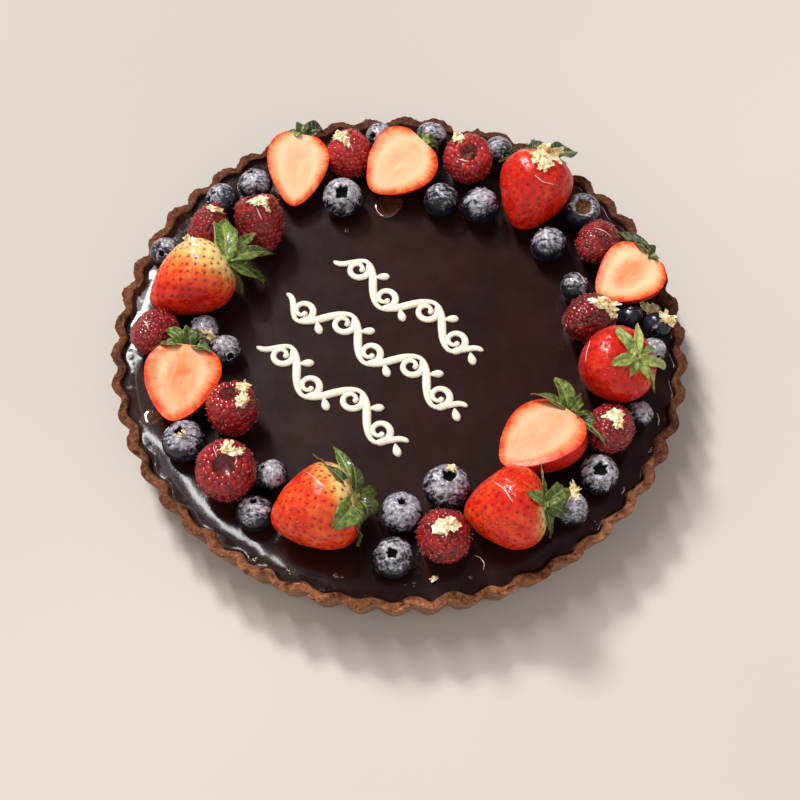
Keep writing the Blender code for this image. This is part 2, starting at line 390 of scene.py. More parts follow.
def crust_look():
    look = Look("chocolate_shortcrust", Roughness=0.8, Specular_IOR_Level=0.25)
    fine, medium = look.noise(0.8, 4), look.noise(2.6, 3)
    tone = look.plus(look.times(fine, 0.5), look.times(medium, 0.5))
    top = look.ramp(tone, [(0.32, 80, 42, 26), (0.46, 131, 78, 49), (0.6, 167, 111, 76), (0.72, 216, 166, 124)])
    wall = look.ramp(tone, [(0.3, 118, 80, 62), (0.5, 148, 108, 84), (0.7, 176, 136, 110)])
    base = look.mix(look.value("worn"), wall, top)
    # Darker towards the back, the right and the left, and in broad patches.
    back = look.span(look.plus(look.times(look.axis("X"), 0.75), look.axis("Y")), -0.05, 0.09, 0.0, 0.85)
    base = look.tint(back, base, 150, 126, 128)
    base = look.tint(look.span(look.axis("X"), -0.105, -0.055, 0.6, 0.0), base, 168, 148, 138)
    base = look.tint(look.span(look.noise(22, 2), 0.35, 0.7, 0.0, 0.4), base, 190, 168, 158)
    # Painted shade in the cracks and pits of the rim's top.
    base = look.dab(look.times(look.value("pitted"), 0.8), base, 58, 28, 17)
    return look.colour(base).bump(fine, 0.45).bump(medium, 0.4).material


# ---------------------------------------------------------------- layout of the fruit


def named(kind, rows):
    return {f"{kind}_{k + 1:02d}": row for k, row in enumerate(rows)}


# Blueberry: x, y, diameter, heading and lean of the crown, how much bloom it keeps, how wide the crown is open.
BLUEBERRIES = named("blueberry", (
    (-100, 39.5, 14, 250, 35, 0.2, 0.7), (-78, 67, 15.5, 200, 55, 0.0, 0.7),
    (-64.5, 76.5, 15.5, 120, 30, 0.55, 0.75), (-26, 70, 17.5, 270, 15, 1.0, 1.25),
    (-10.5, 104, 13.5, 215, 40, 0.6, 0.8), (12.5, 105, 14, 60, 60, 0.45, 0.8), (17, 69.5, 15.5, 90, 80, 0.05, 0.8),
    (34, 66.5, 17, 90, 50, 0.55, 0.8), (42, 97.5, 13.5, 300, 75, 0.35, 0.8), (78, 65, 16.5, 270, 12, 0.0, 1.6),
    (63, 47, 16, 110, 60, 0.4, 0.8), (73.5, 25.5, 14, 20, 70, 0.15, 0.8), (96, 12.5, 11.5, 120, 60, -0.8, 0.8),
    (107, 8, 12, 250, 70, -0.7, 0.8), (104.5, -4.5, 12, 290, 60, 0.8, 0.7), (97.5, -34, 11.5, 60, 60, 0.55, 0.7),
    (79.5, -62, 16, 270, 8, 0.85, 1.25), (67.5, -77.5, 15, 60, 85, 0.65, 0.7), (19.5, -70, 19, 60, 12, 0.7, 1.05),
    (2, -80.5, 16.5, 90, 10, 1.05, 0.7), (-1, -99.5, 16.5, 250, 10, 0.5, 1.0),
    (-49.5, -65, 13.5, 160, 40, 0.7, 0.7), (-55, -81.5, 15, 100, 20, 0.35, 0.8),
    (-85, -51, 17.5, 140, 12, 0.6, 0.95), (-71.5, -8, 13.5, 300, 60, 0.6, 0.8),
    (-81, 1.5, 13.5, 150, 45, 0.65, 0.8),
))
# Raspberry: x, y, diameter, height, heading and lean of the tip, how deep its hollow is, and how light it is.
RASPBERRIES = named("raspberry", (
    (-23.5, 92.5, 19.5, 20, 90, 12, 0.0, 1.3), (28.5, 89, 21.5, 19, 90, 165, 0.5, 1.0),
    (82.7, 46.5, 17, 19.5, 235, 70, 0.0, 0.1), (77, 7, 20, 21, 215, 70, 0.0, -0.35),
    (84, -45, 19, 20, 250, 60, 0.0, 0.2), (18.5, -93.5, 21, 21, 270, 45, 0.0, 0.35),
    (-66.5, -66.5, 24, 23, 90, 165, 0.1, 0.35), (-66, -39.5, 20.5, 20, 290, 160, 0.5, 0.5),
    (-101.5, -3.5, 18.5, 20, 240, 60, 0.0, 0.1), (-82, 51.5, 17, 19, 60, 40, 0.0, 0.3),
    (-60.5, 52, 20.5, 24, 285, 135, 0.5, 0.2),
))
# Strawberry: x, y, length, width, heading and lean of the leafy end, turn about its own axis, how far the pale
# shoulder reaches down from the leaves, the side it is strongest on (degrees about its own axis), and how far the
# whole berry goes from red to orange.
STRAWBERRIES = named("strawberry", (
    (56, 70, 35, 32.5, 70, 74, 10, 0.1, 90, 0.05), (86, -18, 34, 31, -21, 31, 0, 0.12, 300, 0.02),
    (42, -82, 32, 33, 3, 80, 20, 0.24, 250, 0.15), (-31, -83.5, 35, 34.5, 14, 78, 0, 0.42, 135, 0.2),
    (-87.5, 20.5, 37.5, 31.5, 30, 76, 15, 0.7, 105, 0.07),
))
# The same for the halves, but their last three numbers say how far the red reaches in, how orange the core is and
# how bright the flesh is; below 1 that is painted shade, which tones down the light on the cut face.
HALVES = named("strawberry_half", (
    (-46, 82, 35, 27, 86, 76, 8, 0.1, 0.75, 0.1, 0.97), (-2, 83.5, 33, 31, 45, 75, 12, 0.1, 0.75, 0.15, 0.97),
    (95, 28.5, 31.5, 28.5, 40, 82, 0, 0.12, 0.75, 0.85, 0.96),
    (54.8, -50.8, 37, 35, 43, 88, -21, 0.08, 0.95, 0.3, 0.86),
    (-87.5, -27.3, 34.5, 31.5, 84, 84, 0, 0.12, 1.3, 1.0, 0.95),
))

# How far a berry sinks into the ganache
SINK = 0.25


def rest(points, x, y, turned):
    """Turns the berry and sets it on the ganache, a little way in. Also returns its offset."""
    points = points @ turned.T
    offset = np.array([x, y, GANACHE - SINK - points[:, 2].min()])
    return points + offset, offset


# ---------------------------------------------------------------- the ganache

# Where the ganache's shoulder starts, by heading in degrees: how far from the shell in millimetres, how steep it
# gets, and over what length.
SHOULDER = np.array([
    (0, 10, 7, 7), (140, 10, 2, 7), (151, 10, 2.5, 9), (156, 9.8, 7.0, 10), (168, 9.3, 6.9, 10), (174, 8.4, 6.6, 8),
    (180, 7.4, 6.2, 7), (187, 6.6, 5.8, 7), (194, 5.7, 5.6, 7), (201, 5.7, 5.6, 6), (207, 9.0, 5.7, 6),
    (213, 11.5, 6.0, 7), (218, 12.5, 6.4, 7), (225, 12.5, 7.2, 7), (235, 11, 8.5, 7), (245, 9.5, 9.5, 7),
    (260, 9, 8, 7), (360, 10, 7, 7),
])


def make_ganache():
    columns, rows = 560, 104
    angle = circle(columns)
    share = 1 - (1 - np.linspace(0.02, 1, rows)) ** 1.5
    edge = inner_radius(angle, GANACHE) + 0.7
    top = np.array([around(edge * s, angle, 0.0) for s in share])
    flat = top.reshape(-1, 3)
    from_edge = (edge[None, :] * (1 - share[:, None])).ravel()
    heading = np.arctan2(flat[:, 1], flat[:, 0])
    # The poured surface rolls down over a broad shoulder towards the pastry, then climbs it in a thin film.
    ring = around(100.0, heading, 0.0)
    turned = np.degrees(heading) % 360
    begin, tilt, length = (np.interp(turned, SHOULDER[:, 0], SHOULDER[:, k]) for k in (1, 2, 3))
    begin = begin + 1.3 * ripple(ring, 15, 12) + 0.4 * ripple(ring, 5, 14)
    steep = 1.55 * np.tan(np.radians(tilt))
    past = np.maximum(begin - (mean_inner_radius(GANACHE) - from_axis(flat)), 0)
    z = 0.03 * ripple(flat, 30, 11) - steep * np.where(past < length, past**2 / (2 * length), past - length / 2)
    climb = 1.2 - z + 0.35 * ripple(ring, 6, 15)
    z += climb * np.exp(-from_edge / (0.5 + 0.12 * ripple(ring, 8, 16)))
    # It climbs a little up each berry.
    for x, y, size in berry_feet():
        away = np.hypot(flat[:, 0] - x, flat[:, 1] - y) - size
        z += (0.45 - np.minimum(z, 0)) * np.exp(-np.maximum(away, 0) / 1.2)
    flat[:, 2] = GANACHE + z
    lower = around(inner_radius(angle, FLOOR + 0.3) - 0.3, angle, FLOOR + 0.3)
    wall = around(edge - 0.4, angle, 15.0)
    rings = np.concatenate([[lower], [wall], flat.reshape(rows, columns, 3)[::-1]])
    points, faces = tube(rings, start=np.array([0, 0, FLOOR + 0.3]), end=np.array([0, 0, GANACHE]))
    return points, faces


def berry_feet():
    """Where each berry touches the ganache, and how wide it is there."""
    for x, y, size, *_ in BLUEBERRIES.values():
        yield x, y, 0.22 * size
    for x, y, size, *_ in RASPBERRIES.values():
        yield x, y, 0.32 * size
    for x, y, length, *_ in (*STRAWBERRIES.values(), *HALVES.values()):
        yield x, y, 0.25 * length


def ganache_look():
    look = Look("chocolate_ganache", Roughness=0.3, Specular_IOR_Level=0.13, Coat_Roughness=0.1)
    fine, sideways = look.noise(0.7, 2), look.axis("X")
    base = look.ramp(look.noise(26, 3), [(0.3, 34, 14, 13), (0.7, 45, 21, 19)])
    specks = look.span(look.cells(1.6), 0.03, 0.12, 1.0, 0.0)
    sparse = look.span(look.noise(5, 2), 0.46, 0.6)
    look.colour(look.dab(look.times(specks, look.times(sparse, 0.5)), base, 112, 84, 74))
    # Satin in the middle, a wetter shine by the rim, and dull patches where the pastry soaked it up
    out = look.node("VectorMath", {0: look.place}, "Value", operation="LENGTH")
    wet = look.span(out, 0.088, 0.1)
    satin, shine = look.span(look.noise(9, 3), 0.3, 0.7, 0.28, 0.34), look.span(fine, 0.3, 0.7, 0.13, 0.22)
    by_rim = look.times(look.span(out, 0.1115, 0.113), look.span(look.noise(7, 2), 0.42, 0.52))
    dull = look.times(by_rim, look.span(sideways, -0.02, 0.06, 0.5, 0.12))
    gloss = look.node("Mix", {"Factor": wet, 2: satin, 3: shine}, data_type="FLOAT")
    look.put("Roughness", look.plus(gloss, dull))
    syrup = look.span(sideways, -0.06, -0.025, 0.5, 0.18)
    look.put("Coat Weight", look.times(wet, look.minus(syrup, look.times(dull, 0.9)), clamp=True))
    look.bump(fine, 0.026).grain(4, 2, 0.03)
    wavy = look.plus(look.noise(1.0, 2), look.times(look.noise(5, 2), 3.0))
    return look.bump(wavy, 0.016, "Coat Normal").material


# ---------------------------------------------------------------- blueberries

# Above this opening a crown is a wide, torn one that shows its pith.
WIDE_OPEN = 1.5

def make_blueberry(x, y, size, heading, lean, opening, seed):
    """A flattened ball with a five-pointed crown round a hollow. crown is 1 in the hollow, lobe 1 on the points."""
    sides, radius = 50, size / 2
    angle = circle(sides)
    rng = np.random.default_rng(seed)
    uneven = angle + 0.3 * np.sin(angle + seed) + 0.18 * np.sin(2 * angle + 1.7 * seed)
    point = (0.5 + 0.5 * np.cos(5 * uneven + seed)) ** 1.1
    if opening > WIDE_OPEN:
        point = 0.25 + 0.4 * point
    ragged = 1 + 0.3 * np.sin(2 * angle + seed) + 0.25 * np.sin(13 * angle + 2 * seed)
    tall = radius * rng.uniform(0.84, 0.93)
    open_up = opening * rng.uniform(0.95, 1.05)
    rings, inside, lobe = [], [], []
    for p in np.radians(np.linspace(8, 180 - 26 * max(open_up, 0.75), 25)):
        rings.append(around(radius * math.sin(p), angle, -tall * math.cos(p)))
        inside.append(0.0 * angle)
        lobe.append(0.0 * angle)
    top = -math.cos(p) - 0.905
    # Each row of the crown: radius, height, how far the points reach out and up, hollow, lobe
    for r, z, out, up, hollow, tip in (
        (0.385, 0.915, 0.0, 0.01, 0.0, 0.3), (0.36, 0.94, 0.01, 0.05, 0.0, 0.6),
        (0.335, 0.965, 0.03, 0.09, 0.0, 0.9), (0.305, 0.965, 0.06, 0.09, 0.0, 1.0),
        (0.275, 0.93, 0.08, 0.05, 0.2, 0.9), (0.245, 0.87, 0.09, 0.0, 0.6, 0.4),
        (0.22, 0.78, 0.08, 0.0, 0.95, 0.0), (0.19, 0.66, 0.06, 0.0, 1.0, 0.0), (0.12, 0.58, 0.03, 0.0, 1.0, 0.0),
        (0.05, 0.56, 0.0, 0.0, 1.0, 0.0),
    ):
        z += top
        reach = radius * open_up * (r + out * (point - 0.35) * ragged)
        rings.append(around(reach, angle, tall * (z + up * (point - 0.45) * ragged)))
        inside.append(hollow + 0 * angle)
        lobe.append(tip * (0.4 + 0.6 * point))
    rings = np.array(rings)
    points, faces = tube(rings)
    swell = 1 + 0.018 * ripple(points, size * 0.6, seed + 7)
    points = points * swell[:, None]
    centre = points.mean(0)
    turned = attitude(heading, lean)
    # How far each point faces up; it lightens the bloom on the top, partly painted light from above.
    up = (unit(points - centre) @ turned.T)[:, 2]
    points, _ = rest(points, x, y, turned)
    values = {
        "crown": np.concatenate([np.ravel(inside), [0, 1.0]]),
        "lobe": np.concatenate([np.ravel(lobe), [0, 0]]),
        "up": up,
    }
    return points, faces, values


def blueberry_look(index, bloom, opening):
    look = Look(f"blueberry_skin_{index:02d}", Roughness=0.4, Coat_Roughness=0.08, Specular_IOR_Level=0.3)
    streak = look.noise(3.6, 4, 0.62, 1.0, look.stretch((1.0, 1.5, 0.7)))
    scratch = look.noise(1.3, 3, 0.6, 1.0, look.stretch((0.6, 1.0, 1.5)))
    rubbed = look.plus(look.times(streak, 0.7), look.times(scratch, 0.3))
    # Bloom is paler on the top: partly real wax, partly painted light of the top lit from above.
    lifted = look.plus(rubbed, look.times(look.value("up"), 0.19))
    lifted = look.plus(lifted, look.times(look.value("lobe"), 0.1))
    edge = 0.665 - 0.13 * bloom
    bloom_and_top_light = look.span(lifted, edge - 0.05, edge + 0.095)
    skin = look.ramp(look.noise(3, 3), [(0.35, 14, 14, 22), (0.7, 38, 38, 56)])
    waxy = look.ramp(look.noise(1.4, 4), [(0.3, 100, 98, 115), (0.5, 165, 159, 171), (0.7, 232, 226, 230)])
    crown = look.span(look.value("crown"), 0.3, 0.8)
    # A torn crown shows tan pith; a closed one's hollow is near-black, dark calyx with painted shade in its depth.
    dark, light = ((70, 44, 26), (168, 120, 74)) if opening > WIDE_OPEN else ((6, 5, 6), (30, 22, 22))
    pith_and_shade = look.ramp(look.noise(0.9, 3), [(0.4, *dark), (0.75, *light)])
    look.colour(look.mix(crown, look.mix(bloom_and_top_light, skin, waxy), pith_and_shade))
    look.put("Coat Weight", look.minus(0.35, look.times(crown, 0.35)))
    look.put("Roughness", look.math("MAXIMUM", look.span(bloom_and_top_light, 0.0, 1.0, 0.2, 0.55), look.times(crown, 0.9)))
    return look.grain(1.0, 3, 0.1).grain(0.35, 2, 0.04).material


# ---------------------------------------------------------------- raspberries

# The profile from the open end to the tip: level and width, as shares of the height and of half the diameter
RASPBERRY_RINGS = (
    (0.0, 0.4), (0.03, 0.72), (0.12, 0.9), (0.34, 1.0), (0.55, 0.95), (0.72, 0.8), (0.88, 0.54), (0.97, 0.25),
    (1.0, 0.0),
)
CORE_SIDES = 28
HOLLOW_ROWS = (0.0, 0.25, 0.5, 0.75, 1.0)
HAIRS = 190
# A hollow that is shallower than this is filled with glaze.
FILLED_HOLLOW = 0.3


def make_raspberry(x, y, size, height, heading, lean, hollow_depth, seed):
    """Drupelets in close rings over a core. Where it is open, the hollow of the core shows."""
    rng = np.random.default_rng(seed)
    radius = size / 2
    level, width = np.array(RASPBERRY_RINGS).T
    if hollow_depth:
        width[:2] = 0.54, 0.78
    drupe = 2.55 * (size / 20) ** 0.5
    fine = np.linspace(0, 1, 400)
    # The profile by arc length, from the open end to the tip
    zs = np.interp(fine, np.linspace(0, 1, len(level)), level) * height - height / 2
    rs = np.interp(fine, np.linspace(0, 1, len(width)), width) * radius - 0.27 * drupe
    rs = np.maximum(rs, 0)
    arc = np.concatenate([[0], np.cumsum(np.hypot(np.diff(zs), np.diff(rs)))])
    count = max(5, round(arc[-1] / (0.8 * drupe)))
    shapes = []
    for row in range(count + 1):
        s = arc[-1] * row / count
        r, z = np.interp(s, arc, rs), np.interp(s, arc, zs)
        i = min(np.searchsorted(arc, s), len(arc) - 2)
        along = unit(np.array([rs[i + 1] - rs[i], zs[i + 1] - zs[i]]))
        outward = np.array([along[1], -along[0]])
        number = max(1, round(TAU * r / (0.93 * drupe)))
        for k in range(number):
            a = (k + 0.5 * (row % 2) + rng.uniform(-0.2, 0.2)) * TAU / number
            grow = rng.uniform(0.84, 1.12)
            away = np.array([outward[0] * math.cos(a), outward[0] * math.sin(a), outward[1]])
            side = np.array([-math.sin(a), math.cos(a), 0])
            up = np.cross(away, side)
            axes = np.array([side * 0.63, up * 0.6, away * 0.34]) * drupe * grow
            centre = np.array([r * math.cos(a), r * math.sin(a), z])
            centre = centre + away * rng.uniform(-0.2, 0.14) + up * rng.uniform(-0.4, 0.4)
            points, faces = ball(centre, axes, sides=8, rows=5, start=1.0)
            shapes.append((points, faces, {"tone": np.full(len(points), rng.uniform(0, 1))}))
    # The core, which closes the gaps between the drupelets and holds the hollow
    angle = circle(CORE_SIDES)
    rows = []
    if hollow_depth:
        depth = height * hollow_depth
        for s in HOLLOW_ROWS:
            ridge = 1 + 0.1 * np.cos(14 * angle + 3 * s)
            rows.append(around(radius * (0.26 + 0.26 * s) * ridge, angle, -height / 2 + depth * (1 - s) + 0.3))
    for s in np.linspace(0.0 if hollow_depth else 0.02, 0.985, 12):
        r = np.interp(s * arc[-1], arc, rs) + 0.185 * drupe
        rows.append(around(max(r, 0.3), angle, np.interp(s * arc[-1], arc, zs)))
    points, faces = tube(np.array(rows))
    hollow = np.zeros(len(points))
    if hollow_depth:
        hollow[: len(HOLLOW_ROWS) * CORE_SIDES] = 1
        hollow[-2] = 1
    shapes.append((points, faces, {"hollow": hollow}))
    points, faces, values = join(shapes)
    points *= 1 + 0.02 * ripple(points, size * 0.7, seed + 3)[:, None]
    turned = attitude(heading, lean, rng.uniform(0, 360))
    points, offset = rest(points, x, y, turned)
    hairs = []
    for _ in range(HAIRS):
        s = rng.uniform(0.04, 0.98) * arc[-1]
        r, z = np.interp(s, arc, rs) + 0.27 * drupe, np.interp(s, arc, zs)
        a = rng.uniform(0, TAU)
        foot = np.array([r * math.cos(a), r * math.sin(a), z])
        away = unit(foot * [1, 1, 0.8])
        along = unit(np.cross(away, rng.normal(size=3)))
        reach = rng.uniform(0.7, 1.7)
        path = [foot + along * (0.7 * reach * t) + away * (reach * t * (1 - 0.45 * t)) for t in (0, 0.35, 0.7, 1.0)]
        hairs.append(strand(np.array(path) @ turned.T + offset, np.array([0.1, 0.09, 0.08, 0.04]), sides=3))
    return (points, faces, values), hairs


def raspberry_look(index, light, filled):
    """A filled hollow holds clear glaze, and an open one shows its pale lining."""
    deep, pale = ((84, 14, 20), (150, 58, 58)) if filled else ((146, 48, 52), (236, 164, 152))
    look = Look(
        f"raspberry_skin_{index:02d}", Roughness=0.28, Coat_Weight=0.6, Coat_Roughness=0.06, Specular_IOR_Level=0.18,
        Subsurface_Weight=0.15, Subsurface_Scale=0.002, Subsurface_Radius=(1.0, 0.15, 0.1),
    )
    tone = look.plus(look.times(look.value("tone"), 0.25), look.times(look.noise(5.5, 3), 0.75))
    dark, bright = (80 + 36 * light, 5, 11), (146 + 46 * light, 14 + 22 * light, 21 + 16 * light)
    base = look.ramp(tone, [(0.28, *dark), (0.62, *bright)])
    # Pale down, stuck to the skin by the glaze in short squiggles
    down = look.span(look.noise(0.8, 2, 0.5, 2.0), 0.56, 0.66)
    base = look.dab(look.times(down, 0.22), base, 226, 126, 122)
    inner = look.ramp(look.noise(1.5, 3), [(0.3, *deep), (0.7, *pale)])
    look.colour(look.mix(look.times(look.value("hollow"), 0.9), base, inner))
    return look.grain(0.7, 2, 0.1).grain(1.2, 2, 0.12, "Coat Normal").material


# ---------------------------------------------------------------- strawberries

TAPER = 0.35
WIDEST = 1.06
# Square millimetres of skin for each seed, and the reach and depth of the dimple it lies in
SEED_AREA = 12.5
PIT_REACH, PIT_DEPTH = 0.95, 0.24


def strawberry_surface(polar, angle, length, width, seed):
    """Points of the berry's skin. polar runs from 0 at the tip to pi at the leafy end."""
    swell = (1 - TAPER * np.cos(polar)) / WIDEST
    r = width / 2 * np.sin(polar) * swell
    # The shoulders stand a little higher than the leaves' foot.
    dip = 0.055 * length * smoothstep(0.84 * math.pi, math.pi, polar)
    z = -length / 2 * np.cos(polar) - dip
    points = np.stack([r * np.cos(angle), r * np.sin(angle), z + 0 * angle], -1)
    shape = points.reshape(-1, 3)
    lumps = 1 + 0.018 * ripple(shape, width * 0.55, seed) + 0.007 * ripple(shape, 5.0, seed + 1)
    return (shape * lumps[:, None]).reshape(points.shape)


def seed_places(length, width, seed, half=False):
    """Seeds in a spiral over the skin, a few millimetres apart, as (polar, angle)."""
    rng = np.random.default_rng(seed)
    polar = np.linspace(0, math.pi, 500)
    r = width / 2 * np.sin(polar) * (1 - TAPER * np.cos(polar)) / WIDEST
    z = -length / 2 * np.cos(polar)
    step = np.hypot(np.gradient(r), np.gradient(z))
    area = np.cumsum(TAU * r * step)
    count = int(area[-1] / SEED_AREA)
    level = (np.arange(count) + 0.6) / count * area[-1]
    p = np.interp(level, area, polar) + rng.normal(0, 0.012, count)
    a = np.arange(count) * GOLDEN + rng.normal(0, 0.05, count)
    keep = (p > 0.1) & (p < 0.9 * math.pi)
    if half:
        # Only the side that is kept, whose middle faces +X, clear of the cut
        side = (a + math.pi) % TAU - math.pi
        keep &= (np.abs(side) < math.radians(86)) & (p > 0.25)
    return p[keep], a[keep]


def dimple(points, places):
    """Pushes the skin in round each seed. The same share marks the dimples for painted shade."""
    flat = points.reshape(-1, 3)
    inward = -unit(flat)
    gap = np.full(len(flat), np.inf)
    for start in range(0, len(flat), 4000):
        part = flat[start : start + 4000]
        gap[start : start + 4000] = np.sqrt(((part[:, None] - places[None]) ** 2).sum(-1)).min(1)
    pit = np.exp(-((gap / PIT_REACH) ** 2))
    return (flat + inward * (PIT_DEPTH * pit)[:, None]).reshape(points.shape), pit


def seeds_on(length, width, p, a, seed):
    """One small pip in each dimple, its long side towards the tip."""
    rng = np.random.default_rng(seed + 50)
    at = strawberry_surface(p, a, length, width, seed)
    tipward = strawberry_surface(p - 0.03, a, length, width, seed)
    out = []
    for centre, towards in zip(at, tipward):
        along = unit(towards - centre)
        away = unit(centre)
        away = unit(away - along * away.dot(along))
        side = np.cross(away, along)
        grow = rng.uniform(0.85, 1.1)
        axes = np.array([side * 0.34, away * 0.24, along * 0.56]) * grow
        out.append(ball(centre - away * 0.2, axes, sides=6, rows=3))
    return out


def pale_share(polar, angle, reach, side):
    """How pale the ripe skin is: most by the leaves, and further down on one side."""
    from_leaves = 1 - polar / math.pi
    lean = 0.5 + 0.5 * np.cos(angle - math.radians(side))
    return smoothstep(1.0, 0.0, from_leaves / (reach * (0.45 + 0.9 * lean) + 0.02))


def set_down(shape, spec, places, shades, seed):
    """Lays a strawberry and its seeds on the tart. Also returns how it is turned and where it lies."""
    x, y, length, width, heading, lean, turn, *_ = spec
    turned = attitude(heading, lean, turn)
    points, offset = rest(shape[0], x, y, turned)
    pips = zip(seeds_on(length, width, *places, seed), shades)
    pips = [(q @ turned.T + offset, faces, {"pale": shade}) for (q, faces), shade in pips]
    return (points, *shape[1:]), pips, (turned, offset)


def make_strawberry(spec, seed):
    _, _, length, width, _, _, _, reach, side, orange = spec
    sides, rows = 116, 74
    angle = circle(sides)
    polar = np.linspace(0.03, math.pi - 0.03, rows)
    p, a = np.meshgrid(polar, angle, indexing="ij")
    rings = strawberry_surface(p, a, length, width, seed)
    sp, sa = seed_places(length, width, seed)
    rings, pit = dimple(rings, strawberry_surface(sp, sa, length, width, seed))
    points, faces = tube(rings)
    pale = np.append(pale_share(p, a, reach, side).ravel(), [0, 1])
    values = {"pale": pale + orange, "pit": np.append(pit, [0, 0])}
    return set_down((points, faces, values), spec, (sp, sa), pale_share(sp, sa, reach, side) + orange, seed)


def make_half(spec, seed):
    """Half a strawberry. Each ring goes round the skin on +X and back across the cut face."""
    _, _, length, width, _, _, _, reach, *_ = spec
    skin, cut, rows = 66, 42, 66
    polar = np.linspace(0.035, math.pi - 0.035, rows)
    angle = np.linspace(-math.pi / 2, math.pi / 2, skin)
    p, a = np.meshgrid(polar, angle, indexing="ij")
    outside = strawberry_surface(p, a, length, width, seed)
    sp, sa = seed_places(length, width, seed, half=True)
    dimpled, pit = dimple(outside, strawberry_surface(sp, sa, length, width, seed))
    pit = pit.reshape(p.shape)
    share = np.linspace(1, 0, cut + 2)[None, 1:-1, None]
    face = dimpled[:, :1] * share[:, ::-1] + dimpled[:, -1:] * share
    face[..., 0] = 0
    dimpled[:, 0, 0] = 0
    dimpled[:, -1, 0] = 0
    outline = np.concatenate([dimpled[:, 0], dimpled[:, -1]])
    flat = face.reshape(-1, 3)
    gap = np.sqrt(((flat[:, None] - outline[None]) ** 2).sum(-1)).min(1)
    # The flesh bulges a little inside the skin, and its core sinks.
    flat[:, 0] = -0.35 * smoothstep(0, 2.5, gap) + 0.45 * smoothstep(0.3 * width, 0.46 * width, gap)
    flat[:, 0] += 0.06 * ripple(flat, 3.0, seed + 9)
    face = flat.reshape(face.shape)
    rings = np.concatenate([dimpled, face], axis=1)
    points, faces = tube(rings)
    pale = np.concatenate([pale_share(p, a, reach, 180), np.zeros(face.shape[:2])], axis=1)
    flesh = np.concatenate([np.zeros(p.shape), np.ones(face.shape[:2])], axis=1)
    flesh[:, [0, skin - 1]] = 1.0
    # The flesh is pale right up to the stalk.
    by_stalk = smoothstep(0.28, 0.46, face[..., 2] / length)
    by_stalk = by_stalk * (1 - smoothstep(0.06, 0.26, np.abs(face[..., 1]) / width))
    inward = gap.reshape(face.shape[:2]) + 0.12 * width * by_stalk
    depth = np.concatenate([np.zeros(p.shape), inward], axis=1)
    dents = np.concatenate([pit, np.zeros(face.shape[:2])], axis=1)
    rows_of = {"pale": pale, "flesh": flesh, "depth": depth / (0.5 * width), "pit": dents}
    values = {name: np.append(v.ravel(), [v[0].mean(), v[-1].mean()]) for name, v in rows_of.items()}
    middle = np.array([0, 0, 0.05 * length])
    spoke = unit(points - middle)
    values["spoke_y"], values["spoke_z"] = spoke[:, 1], spoke[:, 2]
    values["sideways"], values["lengthwise"] = points[:, 1] / width * 2 + seed, points[:, 2] / length * 2
    # 0 in the middle of the core, 1 on its edge: a long egg, pointed like the berry
    narrow = 0.25 * width * (1 + 0.25 * np.clip(points[:, 2] / length, -0.5, 0.5) * 2)
    values["core"] = np.hypot(points[:, 1] / narrow, (points[:, 2] - 0.02 * length) / (0.36 * length))
    return set_down((points, faces, values), spec, (sp, sa), 0 * sp, seed)


def skin_colour(look):
    """Ripe red skin that pales to orange and then cream by the leaves."""
    patch, fleck = look.minus(look.noise(8, 3), 0.5), look.minus(look.noise(1.5, 3), 0.5)
    uneven = look.plus(look.times(patch, 0.65), look.times(fleck, 0.55))
    ripe = look.plus(look.plus(look.value("pale"), uneven, clamp=True), 0.02)
    base = look.ramp(ripe, [
        (0.0, 200, 20, 10), (0.14, 226, 42, 17), (0.34, 242, 90, 38), (0.56, 246, 154, 76), (0.8, 250, 216, 140),
    ])
    # Painted shade in the dimples round the seeds.
    return look.tint(look.times(look.value("pit"), 0.7), base, 176, 84, 70)


def strawberry_look():
    look = Look(
        "strawberry_skin", Roughness=0.34, Coat_Weight=0.45, Coat_Roughness=0.06, Specular_IOR_Level=0.14,
        Subsurface_Weight=0.1, Subsurface_Scale=0.002, Subsurface_Radius=(1.0, 0.25, 0.12),
    )
    look.colour(skin_colour(look)).grain(0.8, 2, 0.05).grain(4, 2, 0.4)
    return look.bump(look.noise(3.2, 3, 0.55, 0.6), 0.45, "Coat Normal").material


